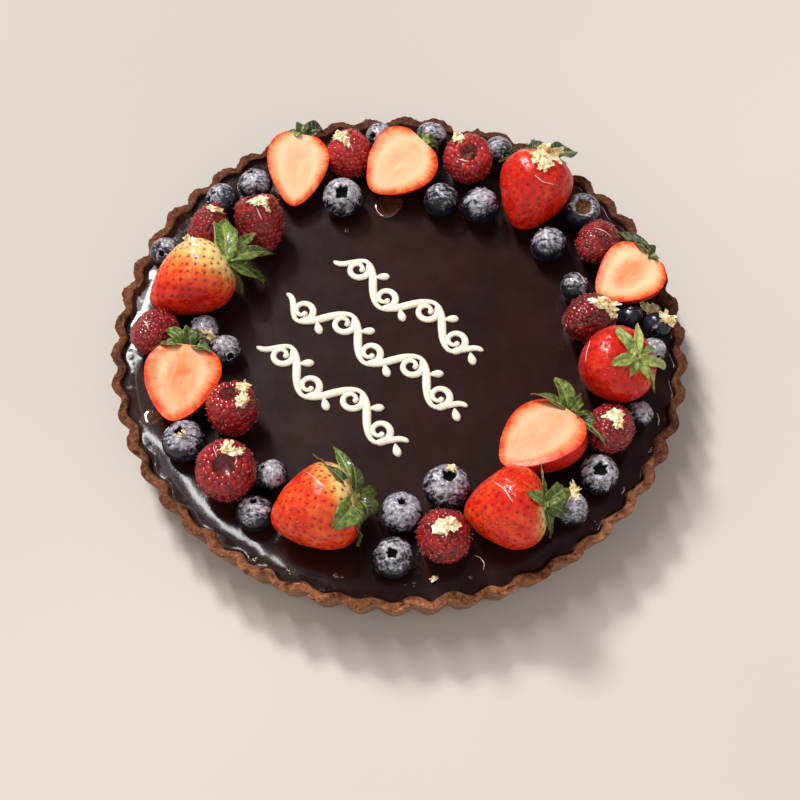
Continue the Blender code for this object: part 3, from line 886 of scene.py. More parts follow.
def half_look(index, edge, core, bright):
    look = Look(
        f"strawberry_cut_{index:02d}", Roughness=0.46, Coat_Weight=0.14, Coat_Roughness=0.22, Specular_IOR_Level=0.12,
        Subsurface_Weight=0.12, Subsurface_Scale=0.002, Subsurface_Radius=(1.0, 0.5, 0.3),
    )
    skin, depth, middle = skin_colour(look), look.value("depth"), look.value("core")
    spokes = {0: look.value("spoke_y"), 1: look.value("spoke_z"), 2: look.times(depth, 0.4)}
    rays = look.noise(1000 / 11, 4, 0.6, vector=look.node("CombineXYZ", spokes))
    ray = look.times(look.minus(rays, 0.5), look.span(middle, 0.25, 1.0))
    cloud = look.minus(look.noise(8, 3), 0.5)
    uneven = look.plus(look.times(ray, 0.36 * edge), look.times(cloud, 0.3 * edge))
    flesh = look.ramp(look.plus(depth, uneven), [
        (0.0, 222, 56, 20), (0.07 * edge, 240, 98, 46), (0.18 * edge, 248, 150, 96),
        (0.34 * edge, 251, 192, 140), (0.52 * edge, 252, 212, 166), (0.8, 252, 216, 172),
    ])
    # The core is a warmer oval with a pale rim, and streaks run through it from the stalk to the tip.
    fibre = {0: look.times(look.value("sideways"), 7.0), 1: look.times(look.value("lengthwise"), 1.6)}
    streak = look.span(look.noise(1000, 4, 0.5, vector=look.node("CombineXYZ", fibre)), 0.34, 0.64, 0.66, 1.0)
    inner = look.plus(middle, look.times(ray, 0.12))
    oval = look.times(look.span(inner, 0.4, 1.1, 1.0, 0.0), streak)
    rim = look.times(look.span(inner, 0.85, 1.05), look.span(inner, 1.05, 1.4, 1.0, 0.0))
    flesh = look.dab(look.times(oval, 0.16 + 0.84 * core), flesh, 243, 136, 78)
    flesh = look.dab(look.times(rim, 0.5 - 0.3 * core), flesh, 254, 226, 188)
    # Painted shade: each half's flesh is dimmed by its own factor, most on half_04, against the light on its face.
    flesh = look.mix(1.0, flesh, (bright, bright * bright, bright * bright), "MULTIPLY")
    look.colour(look.mix(look.value("flesh"), skin, flesh))
    return look.bump(ray, 0.08).grain(0.9, 2, 0.06).material


def seed_look():
    look = Look("strawberry_seed", Roughness=0.4, Coat_Weight=0.15, Coat_Roughness=0.1, Specular_IOR_Level=0.2)
    tone = look.noise(7, 2)
    on_red = look.ramp(tone, [(0.35, 126, 14, 8), (0.56, 162, 36, 14), (0.68, 214, 120, 54)])
    on_pale = look.ramp(tone, [(0.35, 76, 42, 18), (0.7, 128, 84, 38)])
    look.colour(look.mix(look.span(look.value("pale"), 0.22, 0.5), on_red, on_pale))
    return look.grain(0.3, 2, 0.03).material


# ---------------------------------------------------------------- laying small things on the fruit

# The way small things were laid on, from above and a little in front
LAID_FROM = unit(np.array([0.0, -0.45, 0.89]))
FROM_AFAR = 60.0


def drape(tree, point, lift=0.0):
    """The nearest place on the fruit below the point along the way things were laid on, or None."""
    start = point + LAID_FROM * FROM_AFAR
    hit, *_ = tree.ray_cast(Vector(start * MM), Vector(-LAID_FROM), 0.3)
    return None if hit is None else np.array(hit) / MM + LAID_FROM * lift


# ---------------------------------------------------------------- leaves

LEAF_THICKNESS = 0.34
# How far a leaf's rims curl up, as a share of its half width
LEAF_CUP = 0.3


def leaf(tree, foot, tip, width, arch, face, roll, tone, blunt, seed):
    """A sepal from its foot to its tip, arching towards its face by so many millimetres, and rolled in degrees."""
    rows, half = 20, 4
    t = np.linspace(0, 1, rows)
    line = foot + (tip - foot) * t[:, None]
    side = unit(np.cross(face, tip - foot))
    reach = np.linalg.norm(tip - foot)
    line = line + face * (arch * 4 * t * (1 - t) * (1 + 0.3 * t))[:, None]
    line = line + side * (0.07 * reach * np.sin(2.6 * t + seed) * t)[:, None]
    # It lies on whatever fruit it would sink into.
    for k in range(3, rows):
        hit = drape(tree, line[k], 0.7)
        rise = 0.0 if hit is None else (hit - line[k]).dot(LAID_FROM)
        line[k] += LAID_FROM * min(max(rise, 0.0), 9.0) * min(1.0, (k - 2) / 4)
    line[2:-1] = (line[1:-2] + 2 * line[2:-1] + line[3:]) / 4
    ahead = unit(np.gradient(line, axis=0))
    across_way = unit(np.cross(np.broadcast_to(face, ahead.shape), ahead))
    normal = np.cross(ahead, across_way)
    turned = np.radians(roll) * (0.3 + 0.7 * t)
    wide_way = across_way * np.cos(turned)[:, None] + normal * np.sin(turned)[:, None]
    thick_way = np.cross(ahead, wide_way)
    swell = np.sin(math.pi * np.clip(t * (0.9 - 0.08 * blunt) + 0.12, 0, 1)) ** (0.85 - 0.3 * blunt)
    wide = width / 2 * np.maximum(swell, 0.05) * (1 + 0.08 * np.sin(9 * t + seed))
    across = np.linspace(-1, 1, 2 * half + 1)
    wave = np.sin(8 * t[:, None] + 2.2 * np.sign(across) + seed) * across**2 * 0.1 * width
    vein = 0.05 * width * np.cos(26 * (t[:, None] - 0.25 * np.abs(across))) * (np.abs(across) < 0.9) * 0.35
    crease = wide[:, None] * (LEAF_CUP * np.abs(across) ** 1.4 - 0.12 * np.exp(-((across / 0.2) ** 2)))
    height = crease + wave * np.minimum(1, 3 * t)[:, None] + vein
    sheet = line[:, None] + wide_way[:, None] * (wide[:, None] * across)[..., None]
    sheet = sheet + thick_way[:, None] * height[..., None]
    thick = LEAF_THICKNESS / 2 * thick_way[:, None]
    rings = np.concatenate([sheet + thick, (sheet - thick)[:, ::-1]], axis=1)
    points, faces = tube(rings[:, ::-1])
    edge = np.tile(np.concatenate([np.abs(across), np.abs(across)[::-1]]), rows)
    along = np.repeat(t, 4 * half + 2)
    return points, faces, {
        "across": np.append(edge, [0, 0]), "along": np.append(along, [0, 1]), "leaf_tone": np.full(len(points), tone),
    }


def leaf_look():
    look = Look("strawberry_leaf", Roughness=0.45, Coat_Weight=0.25, Coat_Roughness=0.12, Specular_IOR_Level=0.3)
    across, along = look.value("across"), look.value("along")
    tone = look.plus(look.value("leaf_tone"), look.times(look.minus(look.noise(1.8, 4), 0.5), 1.15))
    base = look.ramp(tone, [
        (0.05, 24, 28, 14), (0.3, 50, 64, 26), (0.5, 84, 106, 42), (0.72, 138, 156, 72), (0.95, 196, 198, 112),
    ])
    # A pale midrib, side veins that run forward from it, and a dry rim and tip
    rib = look.span(across, 0.02, 0.16, 1.0, 0.0)
    slant = look.minus(look.times(along, 44.0), look.times(across, 7.0))
    vein = look.span(look.math("SINE", slant), 0.82, 1.0)
    dry = look.math("MAXIMUM", look.span(across, 0.88, 1.0), look.span(along, 0.9, 1.0))
    base = look.dab(look.times(rib, 0.6), base, 182, 190, 124)
    base = look.dab(look.times(vein, 0.45), base, 168, 180, 104)
    base = look.dab(look.times(dry, 0.5), base, 150, 128, 74)
    return look.colour(base).bump(vein, 0.12).grain(0.9, 3, 0.3).material


# Each sepal: tip (x, y, z), width, arch, roll in degrees, tone from dark to light, and blunt for a round one.
SEPALS = {
    "strawberry_01": (
        ((46.5, 93.5, 30), 9.5, 2.0, -15, 0.2, 0.8), ((74.6, 96.6, 31.5), 9.5, 0.8, 0, 0.26, 1.2),
        ((42.0, 88.0, 32), 4.4, 2.6, 10, 0.3, 0), ((55, 100.5, 30), 8.0, 2.0, 0, 0.16, 0.6),
        ((72, 84, 27), 5.0, 2.0, 0, 0.3, 0),
    ),
    "strawberry_02": (
        ((95.5, -4.4, 50), 4.4, 2.0, 15, 0.9, 0), ((85.2, -7.1, 48), 5.0, 2.2, -10, 0.72, 0.6),
        ((83.5, -23.8, 47), 5.2, 2.2, 0, 0.74, 0.6), ((90.7, -26.4, 43), 3.8, 2.2, 0, 0.72, 0),
        ((98.5, -25.3, 39), 3.8, 1.6, 0, 0.86, 0), ((107.2, -19.4, 38), 5.0, 1.6, 0, 0.84, 0.7),
        ((103.2, -26.5, 31), 2.4, 1.2, 0, 0.78, 0), ((102.6, -12.2, 44), 3.4, 1.4, 10, 0.72, 0),
    ),
    "strawberry_03": (
        ((55.7, -63.1, 40), 3.2, 1.0, 60, 0.62, 0), ((48.4, -81.2, 50), 5.4, 1.4, 0, 0.55, 0),
        ((64.3, -70.9, 36), 7.5, 3.2, -10, 0.5, 0.8), ((64.5, -81.1, 33), 6.0, 2.6, 20, 0.42, 0.6),
        ((59, -88.6, 25), 4.4, 2.4, 0, 0.42, 0), ((62.6, -76, 31), 6.0, 2.8, 35, 0.4, 0.6),
    ),
    "strawberry_04": (
        ((-32.5, -63.9, 46), 4.6, 2.4, 25, 0.34, 0), ((-26.4, -57.4, 39), 5.6, 3.6, -30, 0.5, 0),
        ((-22.3, -95.3, 45), 10.0, 2.6, -12, 0.56, 0.8), ((-8.5, -72.1, 32), 5.0, 2.6, 30, 0.5, 0),
        ((-15.9, -93.7, 26), 6.4, 3.4, -20, 0.44, 0), ((-7.9, -81, 24), 6.0, 3.6, 15, 0.6, 0),
        ((-12, -87, 36), 6.4, 3.6, 10, 0.3, 0), ((-18, -68, 46), 6.0, 2.6, 10, 0.4, 0),
    ),
    "strawberry_05": (
        ((-76.5, 51.1, 36), 10.5, 3.4, -8, 0.58, 0.9), ((-61.9, 47.6, 34), 4.6, 2.0, 10, 0.56, 0),
        ((-54.9, 43.3, 27), 5.0, 3.2, 5, 0.48, 0), ((-59.2, 39.8, 31), 6.8, 3.0, -10, 0.52, 0.3),
        ((-58.5, 26.8, 24), 9.0, 3.4, -15, 0.44, 0.9), ((-67.5, 20.4, 25), 3.6, 2.4, 0, 0.34, 0),
    ),
    "strawberry_half_01": (
        ((-46.8, 97.8, 35), 5.0, 2.0, 0, 0.72, 0.4), ((-34.5, 106.0, 28.5), 9.5, 2.5, 0, 0.16, 0.9),
        ((-52.9, 103.2, 31), 3.4, 2.0, 0, 0.24, 0), ((-44, 106.5, 32), 6.0, 3.0, 0, 0.34, 0),
    ),
    "strawberry_half_02": (
        ((7.6, 102.4, 33), 5.0, 2.0, 0, 0.28, 0), ((15.5, 94.7, 30), 5.4, 2.2, 0, 0.5, 0),
        ((11.3, 95.9, 36), 5.0, 2.0, 0, 0.76, 0.4), ((14.5, 99.5, 31), 4.4, 2.4, 0, 0.32, 0),
    ),
    "strawberry_half_03": (
        ((93.0, 58.0, 26), 7.0, 1.0, 0, 0.2, 0.4), ((96.5, 51.0, 27), 5.4, 1.0, 0, 0.36, 0),
        ((102.0, 44.0, 36), 6.0, 1.5, 20, 0.3, 0.3), ((103.5, 38.0, 32), 6.0, 1.6, -10, 0.42, 0),
        ((98.5, 46.5, 31), 6.0, 1.5, 0, 0.26, 0),
    ),
    "strawberry_half_04": (
        ((53.3, -29.8, 37), 4.8, 2.2, 20, 0.48, 0), ((62.6, -25.7, 42), 7.6, 2.4, -12, 0.56, 0.4),
        ((73.0, -31.9, 36), 5.0, 3.6, 35, 0.56, 0), ((70.4, -42.2, 39), 5.4, 3.4, -30, 0.6, 0),
        ((81.3, -50.5, 32), 6.4, 3.4, 10, 0.28, 0), ((77.4, -38.5, 33), 4.2, 2.6, 0, 0.34, 0),
    ),
    "strawberry_half_05": (
        ((-100.9, -11.6, 35), 4.4, 2.6, 25, 0.46, 0), ((-95.3, -3.3, 35), 5.6, 3.2, -25, 0.52, 0),
        ((-84.6, -3.6, 37), 6.2, 3.2, 15, 0.42, 0), ((-79.3, -4.6, 35), 5.4, 3.4, -15, 0.34, 0),
        ((-75.6, -12.4, 33), 5.0, 2.4, 0, 0.4, 0), ((-89, -5.5, 37), 5.0, 3.8, 0, 0.58, 0),
    ),
}


def calyx(tree, name, place):
    """The sepals of one berry, the green disc they grow from and the stub of its stalk."""
    turned, offset = place
    length = (STRAWBERRIES | HALVES)[name][2]
    inset = 0.1 * length if name in HALVES else 0.0
    top = 0.455 * length

    def at(x, y, z):
        return np.array([x, y, z]) @ turned.T + offset

    axis = at(0, 0, 1) - at(0, 0, 0)
    shapes = []
    for k, (tip, width, arch, roll, tone, blunt) in enumerate(SEPALS[name]):
        towards = unit(np.array(tip) - at(inset, 0, top))
        out = towards - axis * towards.dot(axis)
        foot = at(inset, 0, top) + unit(out) * 1.1 + axis * 0.5
        face = unit(0.55 * axis + np.array([0, -0.25, 1.0]))
        shapes.append(leaf(tree, foot, np.array(tip), width, arch, face, roll, tone, blunt, k + len(name)))
    angle = circle(20)
    ragged = 1 + 0.12 * np.cos(5 * angle) + 0.05 * np.cos(11 * angle)
    broad = 1.35 if name == "strawberry_02" else 1.0
    rows = [around(r * broad * ragged, angle, z) for r, z in (
        (1.6, -1.0), (2.5, -0.1), (2.4, 0.5), (1.7, 0.75), (1.15, 0.9), (1.15, 1.7), (1.0, 2.0), (0.7, 1.7),
        (0.55, 0.4),
    )]
    points, faces = tube(np.array(rows))
    points = (points + [inset, 0, top]) @ turned.T + offset
    shapes.append((points, faces, {"leaf_tone": np.full(len(points), 0.8), "across": 0.5, "along": 0.4}))
    return shapes


# ---------------------------------------------------------------- what lies on top: gold leaf, glaze and icing


def gold_patch(tree, centre, size, turn, seed):
    """A torn, crumpled scrap of foil that clings to what it lies on."""
    rng = np.random.default_rng(seed)
    side = np.array([1.0, 0.0, 0.0])
    over = np.cross(LAID_FROM, side)
    c, s = math.cos(math.radians(turn)), math.sin(math.radians(turn))
    side, over = side * c + over * s, over * c - side * s
    rows, columns = 11, 34
    angle = circle(columns)
    torn = 1.1 + 0.16 * np.sin(2 * angle + rng.uniform(0, 6)) + 0.14 * np.sin(5 * angle + rng.uniform(0, 6))
    torn += rng.uniform(-0.3, 0.26, columns)
    base = drape(tree, centre)
    base = centre if base is None else base
    depth = base.dot(LAID_FROM)
    grid = []
    for share in np.linspace(0.06, 1, rows):
        for a, r in zip(angle, torn * share):
            grid.append(side * (math.cos(a) * r * size[0] / 2) + over * (math.sin(a) * r * size[1] / 2))
    grid = np.array(grid)
    crumple = 0.5 - 0.8 * np.abs(ripple(grid, 2.1, seed)) + 0.35 * np.abs(ripple(grid, 1.1, seed + 1))
    out = []
    for step, fold in zip(grid, crumple):
        place = base + step
        hit = drape(tree, place)
        level = depth if hit is None else hit.dot(LAID_FROM)
        level = max(min(level, depth + 1.2), depth - 2.6)
        out.append(place + LAID_FROM * (level - place.dot(LAID_FROM) + 0.6 + max(fold, -0.4)))
    top = np.array(out).reshape(rows, columns, 3)
    under = top[::-1] - LAID_FROM * 0.1
    points, faces = tube(np.concatenate([top, under]))
    return points, [f[:, ::-1] for f in faces]


def gold_look():
    stops = [(0.34, 208, 150, 80), (0.44, 250, 222, 156), (0.57, 255, 250, 222)]
    return speckled("gold_leaf", 1.6, 3, stops, (0.7, 3, 0.22), Roughness=0.28, Metallic=0.22, Specular_IOR_Level=0.6)


# Gold leaf: centre, size and turn. The small ones are flakes that broke off.
GOLD = (
    ((-27.0, 94.5, 41), (7.0, 5.0), 20), ((-24.6, 90.5, 42), (2.4, 4.5), 10), ((24.0, 96.5, 37), (4.0, 5.5), 0),
    ((62.0, 79.5, 49.0), (10.5, 9.5), 10), ((60.6, 72.0, 53), (6.5, 5.0), 30), ((58.0, 75.5, 51), (5.0, 6.0), 60),
    ((-60.3, 55.9, 45.6), (7.0, 4.6), 10), ((-57.0, 53.0, 45), (2.4, 4.0), 30),
    ((-79.3, 54.8, 40.8), (6.5, 2.6), -20), ((-90.0, 37.0, 47), (6.5, 3.4), -30),
    ((-84.8, 30.9, 49), (6.0, 3.4), -40), ((-77.6, -3.6, 31), (5.5, 7.5), 25),
    ((-61.8, -32.0, 40.9), (4.8, 5.6), 0), ((-61.5, -38.6, 42), (5.4, 5.2), 30),
    ((-65.6, -61.5, 45.8), (5.0, 4.6), 15), ((-62.4, -63.6, 46), (5.6, 4.0), 10),
    ((18.8, -91.8, 43.3), (9.0, 7.0), 5), ((21.1, -64.6, 37.8), (4.0, 2.6), -10),
    ((68.4, -75.2, 38), (6.5, 4.6), 40), ((69.2, -74.6, 38), (3.4, 7.0), 15),
    ((85.2, -41.5, 40.6), (7.5, 4.6), 25), ((86.6, -44.6, 40), (4.6, 5.0), 60),
    ((83.8, 10.9, 40), (12.5, 4.6), -12), ((86.8, 8.4, 37.8), (4.8, 5.4), 30),
    ((106.5, 13.5, 34), (10.5, 5.0), -20), ((110.5, 10.0, 31), (7.0, 5.6), -50),
    ((14.9, -104.9, 22.5), (2.6, 2.4), 30), ((-86.0, -52.4, 38), (2.6, 1.8), 10),
    ((-84.2, -51.0, 38), (1.4, 2.6), 50), ((28.6, 91.2, 33), (3.6, 2.6), 20),
)

# A thread's radius, and how far its middle lies above what carries it
THREAD_RADIUS = 0.24
THREAD_LIFT = 0.08


def thread(tree, way, seed):
    """A thin ridge of glaze along the way, laid on whatever is below it, and coloured pale as a painted highlight."""
    way = np.array(way, float)
    t = np.linspace(0, len(way) - 1, 4 * len(way) + 3)
    line = np.stack([np.interp(t, np.arange(len(way)), way[:, k]) for k in range(3)], -1)
    laid = [drape(tree, p, THREAD_LIFT) for p in line]
    laid = np.array([p for p in laid if p is not None])
    # It ends where what carries it does.
    runs = np.split(laid, np.nonzero(np.linalg.norm(np.diff(laid, axis=0), axis=1) > 2.0)[0] + 1)
    laid = max(runs, key=len)
    smooth = laid.copy()
    smooth[1:-1] = (laid[:-2] + 2 * laid[1:-1] + laid[2:]) / 4
    ends = np.sin(np.linspace(0.12, math.pi - 0.12, len(smooth))) ** 0.5
    return strand(smooth, THREAD_RADIUS * ends * (1 + 0.2 * np.sin(3.1 * t[: len(smooth)] + seed)), sides=6)


def stroke(line, widths, tall):
    """A piped line of icing on the ganache: wide, low and round on top."""
    ahead = unit(np.gradient(line, axis=0))
    side = np.stack([ahead[:, 1], -ahead[:, 0], 0 * ahead[:, 0]], -1)
    angle = np.linspace(0, TAU, 10, endpoint=False)
    low = np.where(np.sin(angle) < 0, 0.35, 1.0)
    rings = (
        line[:, None]
        + side[:, None] * (np.cos(angle) * widths[:, None] / 2)[..., None]
        + UP * (np.sin(angle) * low * (tall * widths**0.7)[:, None])[..., None]
    )
    return tube(rings[:, ::-1])


def round_ends(widths):
    """Shrinks the first and last three widths as on a round end."""
    widths = widths.copy()
    for k in range(3):
        share = math.sqrt(1 - (1 - (k + 0.3) / 3) ** 2)
        widths[k] *= share
        widths[-1 - k] *= share
    return widths


CURL_POINTS = 44


def scroll_row(x, y, length, bends, height, first):
    """One running scroll: a wavy stem, a curl inside each bend with a bead at its end, and a drop outside it."""
    shapes = []
    turned = np.array(Matrix.Rotation(math.radians(ICING_HEADING), 3, "Z"))

    def lay(local, widths, tall=0.42):
        local = np.array([(px, py, 0.0) for px, py in local])
        shapes.append(stroke(local @ turned.T + [x, y, GANACHE + 0.25], round_ends(widths), tall))

    pitch = length / bends
    t = np.linspace(-0.15, bends + 0.15, 26 * bends)
    fade = smoothstep(-0.3, 0.5, t) * smoothstep(bends + 0.3, bends - 0.5, t)
    stem = [(pitch * u - length / 2, first * height / 2 * f * math.sin(math.pi * u)) for u, f in zip(t, fade)]
    lay(stem, 2.1 + 1.7 * np.cos(math.pi * t) ** 2 * fade)
    for k in range(bends):
        sign = first * (-1) ** k
        radius = 0.34 * height
        middle = ((k + 0.5) * pitch - length / 2 - 0.04 * pitch, sign * (height / 2 - radius))
        turn = np.radians(np.linspace(70, -330, CURL_POINTS))
        reach = radius * np.linspace(1.0, 0.34, CURL_POINTS)
        curl = [(middle[0] + r * math.cos(a), middle[1] + sign * r * math.sin(a)) for a, r in zip(turn, reach)]
        lay(curl, np.linspace(3.6, 1.7, CURL_POINTS))
        bead = curl[-1]
        lay([(bead[0] + 1.1 * u, bead[1]) for u in np.linspace(-1, 1, 9)], np.full(9, 2.9), 0.5)
        # The drop outside the bend
        start = ((k + 0.93) * pitch - length / 2, sign * height * 0.22)
        drop = [(start[0] + 4.8 * u, start[1] + sign * (5.2 * u - 1.4 * u * u)) for u in np.linspace(0, 1, 12)]
        lay(drop, 1.2 + 2.5 * np.sin(np.linspace(0.1, 2.6, 12)) ** 1.5, 0.48)
    return shapes


def icing_look():
    return speckled(
        "white_icing", 2.4, 3, [(0.3, 246, 232, 208), (0.7, 255, 247, 230)], (1.2, 2, 0.06),
        Roughness=0.38, Coat_Weight=0.25, Coat_Roughness=0.2, Specular_IOR_Level=0.4,
    )


ICING_HEADING = -35.0
# Each row: x, y, length, number of bends, height, and whether it starts up or down
ICING_ROWS = ((3.0, 19.5, 72, 4, 15.5, 1), (-10.2, -2.6, 88, 5, 15.5, -1), (-27.5, -24.0, 72, 4, 15.5, 1))
# Pools and drops of glaze: x, y, z, size, height
POOLS = (
    (-6.0, 71.5, 22.55, 12.5, 0.55), (-100, -36, 22.4, 8.5, 0.8), (-20.5, 73.5, 24.5, 3.2, 1.2),
    (29, -104, 22.5, 2.0, 0.4), (-24, 58.2, 22.5, 2.6, 0.3),
)
# Sprinkles of small drops by the pastry: x, y, how far they reach along the rim, and how many there are
SPRINKLES = (
    (-56.0, -97.5, 4.5, 7), (-42.0, -102.3, 4.0, 7), (-22.5, -104.6, 4.5, 6), (-70.5, -88.5, 4.0, 4),
    (5.0, -107.5, 5.0, 4), (103.0, -46.0, 6.0, 4), (77.0, -81.0, 6.0, 4),
)
# Ridges of glaze on the fruit and by the rim, coloured pale as painted highlights: the points each passes over
THREADS = (
    ((47.5, 83.0, 50), (51.0, 81.0, 52), (55.5, 77.0, 54), (59.0, 72.5, 54)),
    ((55.8, 66.0, 54), (59.0, 63.5, 53), (64.0, 63.0, 52)),
    ((36.5, -76.5, 50), (40.0, -79.5, 51), (43.5, -85.0, 50)),
    ((-36.0, -73.0, 50), (-31.5, -76.5, 52), (-26.0, -82.0, 52)),
    ((-61.5, 53.5, 45), (-60.0, 49.5, 46), (-58.8, 46.5, 46)),
    ((23.5, 84.0, 40), (28.0, 82.0, 41), (33.0, 84.5, 41)), ((-100, 31, 45), (-97, 27, 48), (-94, 22, 49)),
    ((-90, 33, 47), (-86, 28, 49), (-84, 25, 50)), ((76, -12, 48), (74.5, -17, 48), (74, -21, 47)),
    ((-71, -60.5, 44), (-69.5, -65, 45), (-70, -70, 45)), ((-63, -62, 45), (-61.5, -67, 45), (-63.5, -71, 44)),
    ((-105, 0.5, 38), (-102.5, -2.5, 39), (-101.5, -5.5, 39)),
    ((-24.5, 93, 42), (-23, 89.5, 42), (-21.5, 86.5, 41)), ((82, 50, 38), (86, 48.5, 38), (89, 46, 37)),
    ((74, 30, 35), (76, 27, 36), (77.5, 24, 35)),
    ((30.4, -95.6, 24), (32.7, -96.4, 24), (34.4, -98.9, 24), (34.0, -101.8, 24)),
    ((105.6, -30.9, 24), (106.4, -33.7, 24), (105.9, -36.9, 24)),
    ((90.3, -64.8, 24), (90.4, -66.4, 24), (89.2, -68.2, 24)),
)


def pool(x, y, z, size, seed, tall):
    """A low drop of clear glaze, round at the edge."""
    angle = circle(30)
    edge = 1 + 0.1 * np.sin(2 * angle + seed) + 0.06 * np.sin(3 * angle + 2 * seed)
    rows = [around(size / 2 * r * edge, angle, h * tall) for r, h in (
        (0.9, -0.6), (1.0, 0.0), (0.97, 0.35), (0.88, 0.62), (0.72, 0.82), (0.5, 0.94), (0.25, 1.0),
    )]
    points, faces = tube(np.array(rows))
    return points + [x, y, z], faces


def sprinkle(tree, x, y, reach, count, seed):
    """Drops of glaze scattered along the rim, each on the ganache below it."""
    rng = np.random.default_rng(seed)
    outward = unit(np.array([x, y, 0.0]))
    sideways = np.array([-outward[1], outward[0], 0.0])
    out = []
    for k in range(count):
        spot = np.array([x, y, 0.0]) + sideways * rng.uniform(-0.5, 0.5) * reach + outward * rng.normal(0, 0.6)
        hit, *_ = tree.ray_cast(Vector((spot[0] * MM, spot[1] * MM, 0.1)), Vector((0, 0, -1)))
        out.append(pool(spot[0], spot[1], hit[2] / MM + 0.05, rng.uniform(0.8, 1.7), k, 0.42))
    return out


# ---------------------------------------------------------------- build it all

filling = make_ganache()
piece("crust_shell", make_crust(), crust_look(), ("crust",))
piece("ganache_filling", filling, ganache_look(), ("filling",))
laid_on = [filling]

for index, (name, (x, y, size, heading, lean, bloom, opening)) in enumerate(BLUEBERRIES.items()):
    shape = make_blueberry(x, y, size, heading, lean, opening, 100 + index)
    piece(f"{name}_fruit", shape, blueberry_look(index + 1, bloom, opening), (name,))
    laid_on.append(shape)

all_hairs = []
for index, (name, (x, y, size, height, heading, lean, hollow_depth, light)) in enumerate(RASPBERRIES.items()):
    shape, hairs = make_raspberry(x, y, size, height, heading, lean, hollow_depth, 200 + index)
    look = raspberry_look(index + 1, light, 0 < hollow_depth < FILLED_HOLLOW)
    piece(f"{name}_fruit", shape, look, (name,))
    laid_on.append(shape)
    all_hairs += hairs
hair = speckled("raspberry_hair", 3, 2, [(0.3, 196, 92, 80), (0.7, 240, 186, 160)], Roughness=0.4, Coat_Weight=0.2)
piece("raspberry_hairs", join(all_hairs), hair)

pips, places = [], {}
skin = strawberry_look()
for index, (name, spec) in enumerate(STRAWBERRIES.items()):
    shape, own, places[name] = make_strawberry(spec, 300 + 10 * index)
    piece(f"{name}_fruit", shape, skin, (name,))
    laid_on.append(shape)
    pips += own
for index, (name, spec) in enumerate(HALVES.items()):
    shape, own, places[name] = make_half(spec, 400 + 10 * index)
    piece(f"{name}_fruit", shape, half_look(index + 1, *spec[-3:]), (name,), sharp=55)
    laid_on.append(shape)
    pips += own
piece("strawberry_seeds", join(pips), seed_look())

fruit_points, fruit_faces, _ = join(laid_on)
tree = BVHTree.FromPolygons(
    [tuple(p) for p in (fruit_points * MM).tolist()], [tuple(f) for part in fruit_faces for f in part.tolist()]
)
leaves = []
for name in SEPALS:
    leaves += calyx(tree, name, places[name])
piece("strawberry_leaves", join(leaves), leaf_look())

gold = [gold_patch(tree, np.array(centre), size, turn, 500 + 3 * k) for k, (centre, size, turn) in enumerate(GOLD)]
piece("gold_leaf", join(gold), gold_look(), sharp=28)

icing = []
for row in ICING_ROWS:
    icing += scroll_row(*row)
piece("icing_scrolls", join(icing), icing_look())

pools = [pool(x, y, z, size, k, tall) for k, (x, y, z, size, tall) in enumerate(POOLS)]
for k, (x, y, reach, count) in enumerate(SPRINKLES):
    pools += sprinkle(tree, x, y, reach, count, 600 + k)
wet = {"Coat_Weight": 1.0, "Coat_Roughness": 0.03}
amber = speckled("glaze_pool", 3, 2, [(0.35, 58, 30, 20), (0.7, 104, 62, 42)], Roughness=0.08, **wet)
piece("glaze_pools", join(pools), amber)

threads = [thread(tree, way, k) for k, way in enumerate(THREADS)]
# Painted highlight: the threads are pale so they read as the glaze's glints.
thread_glint = speckled("glaze_thread_highlight", 3, 2, [(0.3, 214, 170, 160), (0.7, 250, 226, 216)], Roughness=0.1, **wet)
piece("glaze_highlight_threads", join(threads), thread_glint)

# ---------------------------------------------------------------- stage, camera and light

floor_mesh = bpy.data.meshes.new("floor")
floor_mesh.from_pydata([(-3, -3, 0), (3, -3, 0), (3, 3, 0), (-3, 3, 0)], [], [(0, 1, 2, 3)])
floor = add("floor", floor_mesh)
floor_look = Look("pale_floor", Roughness=0.7)
floor_tone = floor_look.ramp(floor_look.noise(300, 2), [(0.3, 207, 198, 190), (0.7, 210, 201, 193)])
# Painted shade: the floor is dimmed towards the back left, where the key light falls brightest, so it looks evenly
# lit.
floor_way = floor_look.minus(floor_look.axis("Y"), floor_look.axis("X"))
floor_painted_shade = floor_look.mix(1.0, floor_tone, (0.84, 0.84, 0.84), "MULTIPLY")
floor_look.colour(floor_look.mix(floor_look.span(floor_way, -0.1, 0.35), floor_tone, floor_painted_shade))
floor_mesh.materials.append(floor_look.material)

ELEVATION = math.radians(60.66)
ROLL = math.radians(-0.997)
CAMERA_PLACE = (0.0006, -0.34853, 0.59584)
AIM = Vector((0, 0, 0.02))


def facing(place, x, y, z):
    """The matrix of something at this place with these three axes."""
    return Matrix.Translation(place) @ Matrix((x, y, z)).transposed().to_4x4()


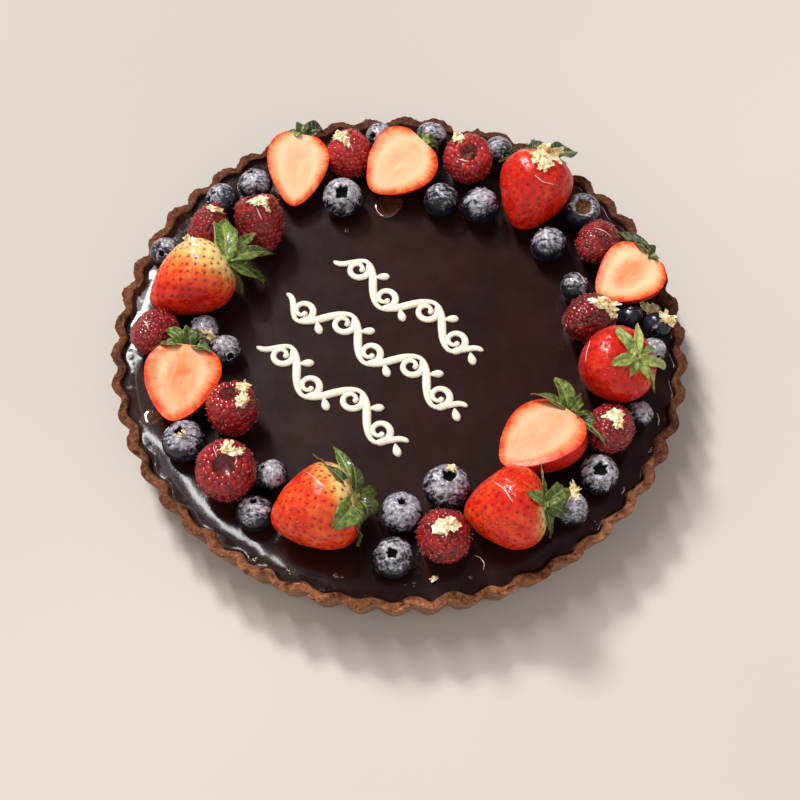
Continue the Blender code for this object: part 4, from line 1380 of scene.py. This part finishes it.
camera_data = bpy.data.cameras.new("camera")
camera_data.sensor_width = 36.0
camera_data.lens = 72.3
camera_data.clip_start = 0.01
camera = add("camera", camera_data)
back = Vector((0.0, -math.cos(ELEVATION), math.sin(ELEVATION)))
right = Vector((1.0, 0.0, 0.0))
up = back.cross(right)
across = math.cos(ROLL) * right - math.sin(ROLL) * up
upward = math.sin(ROLL) * right + math.cos(ROLL) * up
camera.matrix_world = facing(CAMERA_PLACE, across, upward, back)
bpy.context.scene.camera = camera


def soft_light(name, place, size, power, colour):
    data = bpy.data.lights.new(name, "AREA")
    data.shape = "RECTANGLE"
    data.size, data.size_y = size
    data.energy = power
    data.color = colour
    obj = add(name, data)
    obj.location = place
    obj.rotation_euler = (AIM - place).to_track_quat("-Z", "Y").to_euler()
    return obj


def from_way(azimuth, elevation, distance):
    flat = math.cos(math.radians(elevation)) * distance
    a = math.radians(azimuth)
    return Vector((flat * math.cos(a), flat * math.sin(a), math.sin(math.radians(elevation)) * distance))


soft_light("key", from_way(123, 45, 5.0), (0.75, 0.75), 166.0, (1.0, 0.985, 0.96))
# A long strip that runs up from the key, over the tart's left
low, high = from_way(122, 46, 4.0), from_way(158, 74, 4.0)
middle, along = (low + high) / 2, (high - low).normalized()
strip = soft_light("strip", middle, ((high - low).length, 0.36), 64.0, (1.0, 0.985, 0.97))
away = middle.normalized()
strip.matrix_world = facing(middle, along, away.cross(along), away)

# The room is brighter in front of the tart than behind it.
world = bpy.data.worlds.new("soft_room")
bpy.context.scene.world = world
world.use_nodes = True
room = world.node_tree
way, split, span = (room.nodes.new("ShaderNode" + kind) for kind in ("TexCoord", "SeparateXYZ", "MapRange"))
span.interpolation_type = "SMOOTHSTEP"
for key, number in zip(("From Min", "From Max", "To Min", "To Max"), (-0.9, 0.7, 0.78, 0.2)):
    span.inputs[key].default_value = number
background = room.nodes["Background"]
background.inputs["Color"].default_value = (1.0, 0.98, 0.96, 1.0)
room.links.new(way.outputs["Generated"], split.inputs[0])
room.links.new(split.outputs["Y"], span.inputs["Value"])
room.links.new(span.outputs["Result"], background.inputs["Strength"])
bpy.context.scene.view_settings.view_transform = "Standard"
